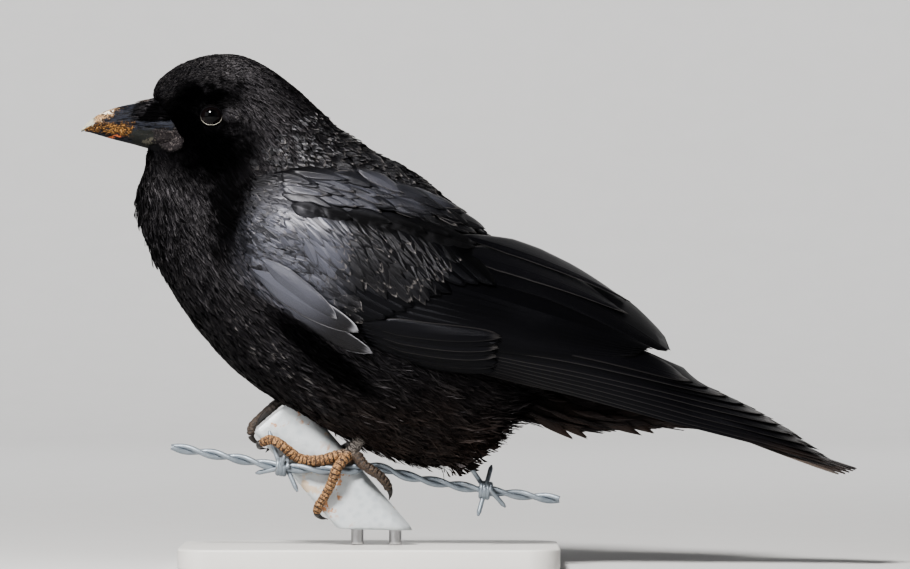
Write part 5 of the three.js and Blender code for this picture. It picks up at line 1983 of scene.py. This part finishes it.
def foot(side):
    """The toes narrow by a quarter to a round end; the leg widens from the shin up, and round the
    sole swells to a pad."""
    sole = on_arm(FEET[side]["sole"])
    share = np.linspace(0, 1, TOE_PLACES)
    parts = []
    for name, (radius, places, _) in FEET[side]["toes"].items():
        path, length = evenly_along(np.vstack([sole, on_arm(places)]), TOE_PLACES)
        thick = 1.02 * radius * (1 - 0.26 * share) * np.sqrt(np.clip((1.03 - share) / 0.06, 0.05, 1))
        parts.append(scaly(path, length, thick, off_the_bar(path), SOIL_AND_SHADE[side][name]))
    knee = np.array(FEET[side]["knee"], float)
    below = sole - unit(knee - sole) * PAD
    path, length = evenly_along([below, sole, (sole + knee) / 2, knee], TOE_PLACES)
    thick = SHIN[0] + (SHIN[1] - SHIN[0]) * share + (PAD - SHIN[0]) * np.exp(-((share / 0.14) ** 2))
    thick = thick * np.sqrt(np.clip((share + 0.004) / 0.05, 0.02, 1))
    front = np.broadcast_to([-1.0, -0.5 if side == "left" else 0.5, 0.2], path.shape)
    parts.append(scaly(path, length, thick, front, SOIL_AND_SHADE[side]["leg"]))
    return joined(parts)


def scale_build(tree):
    """Dark horny scales, dry earth where `soil` is high, a painted grey glint on the highest knuckle, dark
    cracks.
    """
    place = place_of(tree)
    soil, groove = mark_of(tree, "soil"), mark_of(tree, "groove")
    x, _, z = parts_of(tree, place)
    grime = use_group(tree, freckles, Place=place, Scale=260.0, Cover=0.75)
    grain = grime["Grain"]
    bare = blend(tree, grain, (0.006, 0.0055, 0.006), (0.034, 0.030, 0.028))
    earth = blend(tree, step(tree, grain, 0.38, 0.60), (0.070, 0.030, 0.013), (0.44, 0.250, 0.115))
    cover = product(tree, soil, step(tree, grime["Mask"], 0.0, 1.0, 0.80, 1.0))
    # Painted glint: the highest knuckle is grey where the light falls on it.
    top = product(tree, step(tree, z, 0.0530, 0.0565), step(tree, x, -0.0185, -0.0135), 0.8)
    knuckle_glint = blend(tree, step(tree, grain, 0.42, 0.58), (0.040, 0.036, 0.034), (0.26, 0.245, 0.23))
    soiled_with_glint = blend(tree, top, blend(tree, cover, bare, earth), knuckle_glint)
    crack = step(tree, groove, 0.12, 0.60, 0.0, 0.92)
    return {
        "Base Color": blend(tree, crack, soiled_with_glint, (0.012, 0.007, 0.005)),
        "Roughness": scaled(tree, cover, 0.30, 0.42),
        "Height": grain,
        "Depth": 0.0008,
    }


scale_finish = finish("foot_scales", scale_build, Specular_IOR_Level=0.5)
for side in SIDES:
    piece = put_mesh(f"scaly_foot_{side}", **foot(side))
    finish_piece(piece, scale_finish, "toe_skin", f"foot_{side}", f"leg_{side}")

# %% [markdown]
# ## Claws
# A claw is a cone of horn that curls down round the bar and is flatter beneath. As a tube along
# its own curve, each one grips where its toe ends, which a copied shape would not.


# %% Claws
def claw_build(tree):
    streak = noise(tree, place_of(tree), 900.0, 3.0)
    color = blend(tree, streak, (0.007, 0.006, 0.006), (0.032, 0.027, 0.024))
    return {"Base Color": color, "Height": streak, "Depth": 0.0001}


def claw(radius, places):
    path, _ = evenly_along(on_arm(places), 40)
    share = np.linspace(0, 1, 40)
    thick = np.maximum(0.25, radius * 0.66 * (1 - share**1.5))[:, None]
    section = thick * (1 - 0.22 * smooth(0.5, 1.0, -np.cos(ring_turns(16)[None])))
    return capped(tube(path, section, off_the_bar(path), 16))


claw_finish = finish("claw_horn", claw_build, Roughness=0.3)
for side in SIDES:
    for name, (radius, places, tip) in FEET[side]["toes"].items():
        piece = put_mesh(f"claw_{side}_{name}_horn", *claw(radius, np.vstack([places[-1:], tip])))
        finish_piece(piece, claw_finish, "claw", f"claw_{side}_{name}")

# %% [markdown]
# ## Barbed wire
# Two strands are wound round each other as helices, and short wires are wrapped twice round both.
# A barb's path runs from one cut end into a tight helix and out to the other end.

# %% Wire sizes
STRAND, WIRE_TURN = 1.25, 27.0  # a strand's radius, and the length of one full twist
WIRE_LINE = [
    [-94, -11.6, 57.0], [-67, -11.6, 52.2], [-41, -11.6, 47.4], [-19, -10.7, 45.9], [-8, -9.3, 46.3],
    [-2, -5.8, 47.2], [6, -5.4, 46.6], [22, -5.6, 42.0], [55, -5.6, 36.2], [90, -5.6, 31.8],
]
WIRE_PLACES, BARB_PLACES = 420, 150
BARBS = [
    # tips from the middle of the knot
    {"x": -41.4, "tips": [[-6.2, 3.0, 17.0], [1.2, -6.5, 5.5], [7.4, -2.5, -11.6], [-12.5, 2.0, -3.0]]},
    {"x": 54.8, "tips": [[-7.0, -2.0, 11.0], [3.0, 4.5, 11.6], [-3.5, -3.5, -12.0], [9.5, 1.5, -8.0]]},
]
BARB_RADIUS, KNOT_LENGTH = 1.1, 7.5


def wire_frames():
    """The wire's line, its length, and at each place the ways ahead, beside and over it."""
    path, length = evenly_along(np.array(WIRE_LINE, float), WIRE_PLACES)
    ahead = unit(np.gradient(path, axis=0))
    beside = unit(np.cross([0, 0, 1.0], ahead))
    return path, length, ahead, beside, np.cross(ahead, beside)


print("wire", round(wire_frames()[1]), "mm long")


# %% Wire
def strands():
    path, length, _, beside, over = wire_frames()
    twist = 2 * np.pi * np.linspace(0, length, WIRE_PLACES)[:, None] / WIRE_TURN
    parts = []
    for phase in (0, np.pi):
        out = beside * np.cos(twist + phase) + over * np.sin(twist + phase)
        points, faces = capped(tube(path + out * STRAND, np.full(WIRE_PLACES, STRAND), out, 14))
        parts.append({"points": points, "faces": faces})
    return parts


def barb(x, first_tip, second_tip, start, aside):
    """One barb wire: a prong, two turns round the strands from the angle `start`, a prong. Its
    coil lies `aside` of the knot's middle along the wire."""
    path, _, ahead, beside, over = wire_frames()
    i = np.argmin(np.abs(path[:, 0] - x))
    middle, a, b, c = path[i], ahead[i], beside[i], over[i]
    angle = start + np.linspace(0, 2, 36)[:, None] * 2 * np.pi
    run = np.linspace(-0.5, 0.5, 36)[:, None] * (KNOT_LENGTH - 2 * BARB_RADIUS) * 0.5 + aside
    coil = middle + a * run + (b * np.cos(angle) + c * np.sin(angle)) * (2 * STRAND + BARB_RADIUS * 0.8)
    ends = [middle + np.array(first_tip), middle + np.array(second_tip)]
    lead = [ends[0], ends[0] * 0.45 + coil[0] * 0.55]
    tail = [ends[1] * 0.45 + coil[-1] * 0.55, ends[1]]
    route, _ = evenly_along(np.vstack([lead, coil, tail]), BARB_PLACES, 12)
    share = np.linspace(0, 1, BARB_PLACES)
    cut = np.minimum(share, 1 - share)
    radius = BARB_RADIUS * (0.5 + 0.5 * smooth(0, 0.03, cut))
    points, faces = capped(tube(route, radius, carried(route), 12))
    return {"points": points, "faces": faces}


def wire_build(tree):
    place = place_of(tree)
    spots = use_group(tree, freckles, Place=place, Scale=240.0, Cover=0.35)
    cloudy = noise(tree, place, 120.0, 4.0)
    zinc = blend(tree, cloudy, (0.120, 0.145, 0.175), (0.36, 0.40, 0.44))
    color = blend(tree, product(tree, spots["Mask"], 0.6), zinc, (0.16, 0.10, 0.07))
    rough = scaled(tree, cloudy, 0.3, 0.3)
    return {"Base Color": color, "Roughness": rough, "Height": spots["Grain"], "Depth": 0.0002}


wire_finish = finish("wire_zinc", wire_build, Metallic=0.55)
wire_parts = strands()
for knot in BARBS:
    tips = knot["tips"]
    wire_parts.append(barb(knot["x"], tips[0], tips[2], 1.2, -BARB_RADIUS))
    wire_parts.append(barb(knot["x"], tips[1], tips[3], 3.0, BARB_RADIUS))
finish_piece(put_mesh("barbed_wire", **joined(wire_parts)), wire_finish, "wire", "perch_wire")

# %% [markdown]
# ## Stand
# The display stand is a thick slab with round corners and a soft edge, and two short rods. The
# slab's rings are one outline, drawn in by a quarter round at the bottom and the top.

# %% Stand
STAND = {"base": (180.0, 112.0, 10.0), "corner": 16.0, "bevel": 1.2, "rod": 3.0, "rods": (-6.0, 12.0)}


def slab():
    """Four quarter circles joined by straights, at six levels up each of the two soft edges:
    level = bevel * (1 - cos(bend)) and inset = bevel * (1 - sin(bend)), mirrored at the top."""
    width, deep, high = STAND["base"]
    turn = np.concatenate([np.linspace(0, np.pi / 2, 17) + k * np.pi / 2 for k in range(4)])
    corner_x = np.repeat([1, -1, -1, 1], 17) * (width / 2 - STAND["corner"])
    corner_y = np.repeat([1, 1, -1, -1], 17) * (deep / 2 - STAND["corner"])
    bend = np.linspace(0, np.pi / 2, 6)
    level = STAND["bevel"] * (1 - np.cos(bend))
    inset = STAND["bevel"] * (1 - np.sin(bend))
    levels = np.concatenate([level, high - level[::-1]])[:, None]
    radius = STAND["corner"] - np.concatenate([inset, inset[::-1]])[:, None]
    x = corner_x + radius * np.cos(turn)
    y = corner_y + radius * np.sin(turn)
    return capped(np.stack([x, y, np.broadcast_to(levels, x.shape)], -1))


def base_build(tree):
    place = place_of(tree)
    fine = noise(tree, place, 1200.0, 4.0)
    cloudy = noise(tree, place, 18.0, 3.0)
    color = blend(tree, cloudy, (0.60, 0.585, 0.56), (0.68, 0.665, 0.64))
    rough = scaled(tree, fine, 0.15, 0.42)
    return {"Base Color": color, "Roughness": rough, "Height": fine, "Depth": 0.00005}


base_finish = finish("stand_lacquer", base_build, Coat_Weight=0.15)


def rod_build(tree):
    place = place_of(tree)
    stretched = node(tree, "Mapping", {"Vector": place, "Scale": (1.0, 1.0, 0.05)}).outputs["Vector"]
    brushed = noise(tree, stretched, 2500.0, 3.0)
    color = blend(tree, brushed, (0.42, 0.42, 0.43), (0.58, 0.58, 0.59))
    return {"Base Color": color, "Roughness": scaled(tree, brushed, 0.15, 0.24)}


rod_finish = finish("stand_steel", rod_build, Metallic=1.0)
finish_piece(put_mesh("stand_slab", *slab()), base_finish, "stand_base", "stand_base")
for number, x in enumerate(STAND["rods"], 1):
    low, high = (np.array(corner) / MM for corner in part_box(f"stand_rod_{number}"))
    path = between([x, 0.0, low[2]], [x, 0.0, high[2]], 12)
    up = np.broadcast_to([1.0, 0, 0], path.shape)
    rod = put_mesh(f"rod_{number}", *capped(tube(path, np.full(12, STAND["rod"]), up, 40)))
    finish_piece(rod, rod_finish, "stand_rod", f"stand_rod_{number}")

# %% [markdown]
# ## Floor, backdrop and light
# A pale sheet runs along the floor and up behind the bird in one sweep. The key light stands up
# and to the left, on the viewer's side, where its reflection meets the shoulder feathers, and is
# small enough to keep the glints crisp. The sky is a dim pale fill.


# %% Studio
def sweep():
    """Profile of the sheet: flat to y = 2.4 m, a quarter circle of 1.2 m, then straight up."""
    bend = np.linspace(0, np.pi / 2, 24)
    y = np.concatenate([[-6.0], 2.4 + 1.2 * np.sin(bend), [3.6]])
    z = np.concatenate([[0.0], 1.2 * (1 - np.cos(bend)), [5.0]])
    x = np.linspace(-6, 6, 3)[None]
    points = np.stack([x + 0 * y[:, None], y[:, None] + 0 * x, z[:, None] + 0 * x], -1)
    return points.reshape(-1, 3) / MM, grid_faces(len(y), 3)


def paper_build(tree):
    grain = noise(tree, place_of(tree), 30.0, 3.0)
    return {"Base Color": blend(tree, grain, (0.60, 0.595, 0.59), (0.63, 0.625, 0.62))}


backdrop = put_mesh("backdrop", *sweep())
backdrop.data.materials.append(finish("paper", paper_build, Roughness=0.9))


def area_light(name, place, target, size, watts, color=(1.0, 1.0, 1.0)):
    """A square light of that size in metres, at a place, turned to face the target."""
    lamp = bpy.data.lights.new(name, "AREA")
    lamp.size = size
    lamp.energy = watts
    lamp.color = color
    light = bpy.data.objects.new(name, lamp)
    light.location = place
    way = Vector(target) - Vector(place)
    light.rotation_euler = way.to_track_quat("-Z", "Y").to_euler()
    bpy.context.scene.collection.objects.link(light)


BIRD = (0.0, 0.0, 0.13)
area_light("key", (-0.45, -1.15, 1.25), BIRD, 0.36, 60.0, (1.0, 0.985, 0.96))
area_light("side", (-1.15, -0.95, 0.60), BIRD, 0.9, 4.0)
area_light("fill", (1.3, -1.1, 0.7), BIRD, 1.2, 1.5)
area_light("wall_left", (-1.5, 0.8, 2.2), (-1.5, 2.8, 1.6), 1.2, 70.0)
area_light("wall_right", (1.5, 0.8, 2.2), (1.5, 2.8, 1.6), 1.2, 70.0)
world = bpy.data.worlds.new("studio")
world.use_nodes = True
world.node_tree.nodes["Background"].inputs["Color"].default_value = (0.93, 0.95, 1.0, 1.0)
world.node_tree.nodes["Background"].inputs["Strength"].default_value = 0.06
bpy.context.scene.world = world
bpy.context.scene.view_settings.look = "AgX - Medium High Contrast"
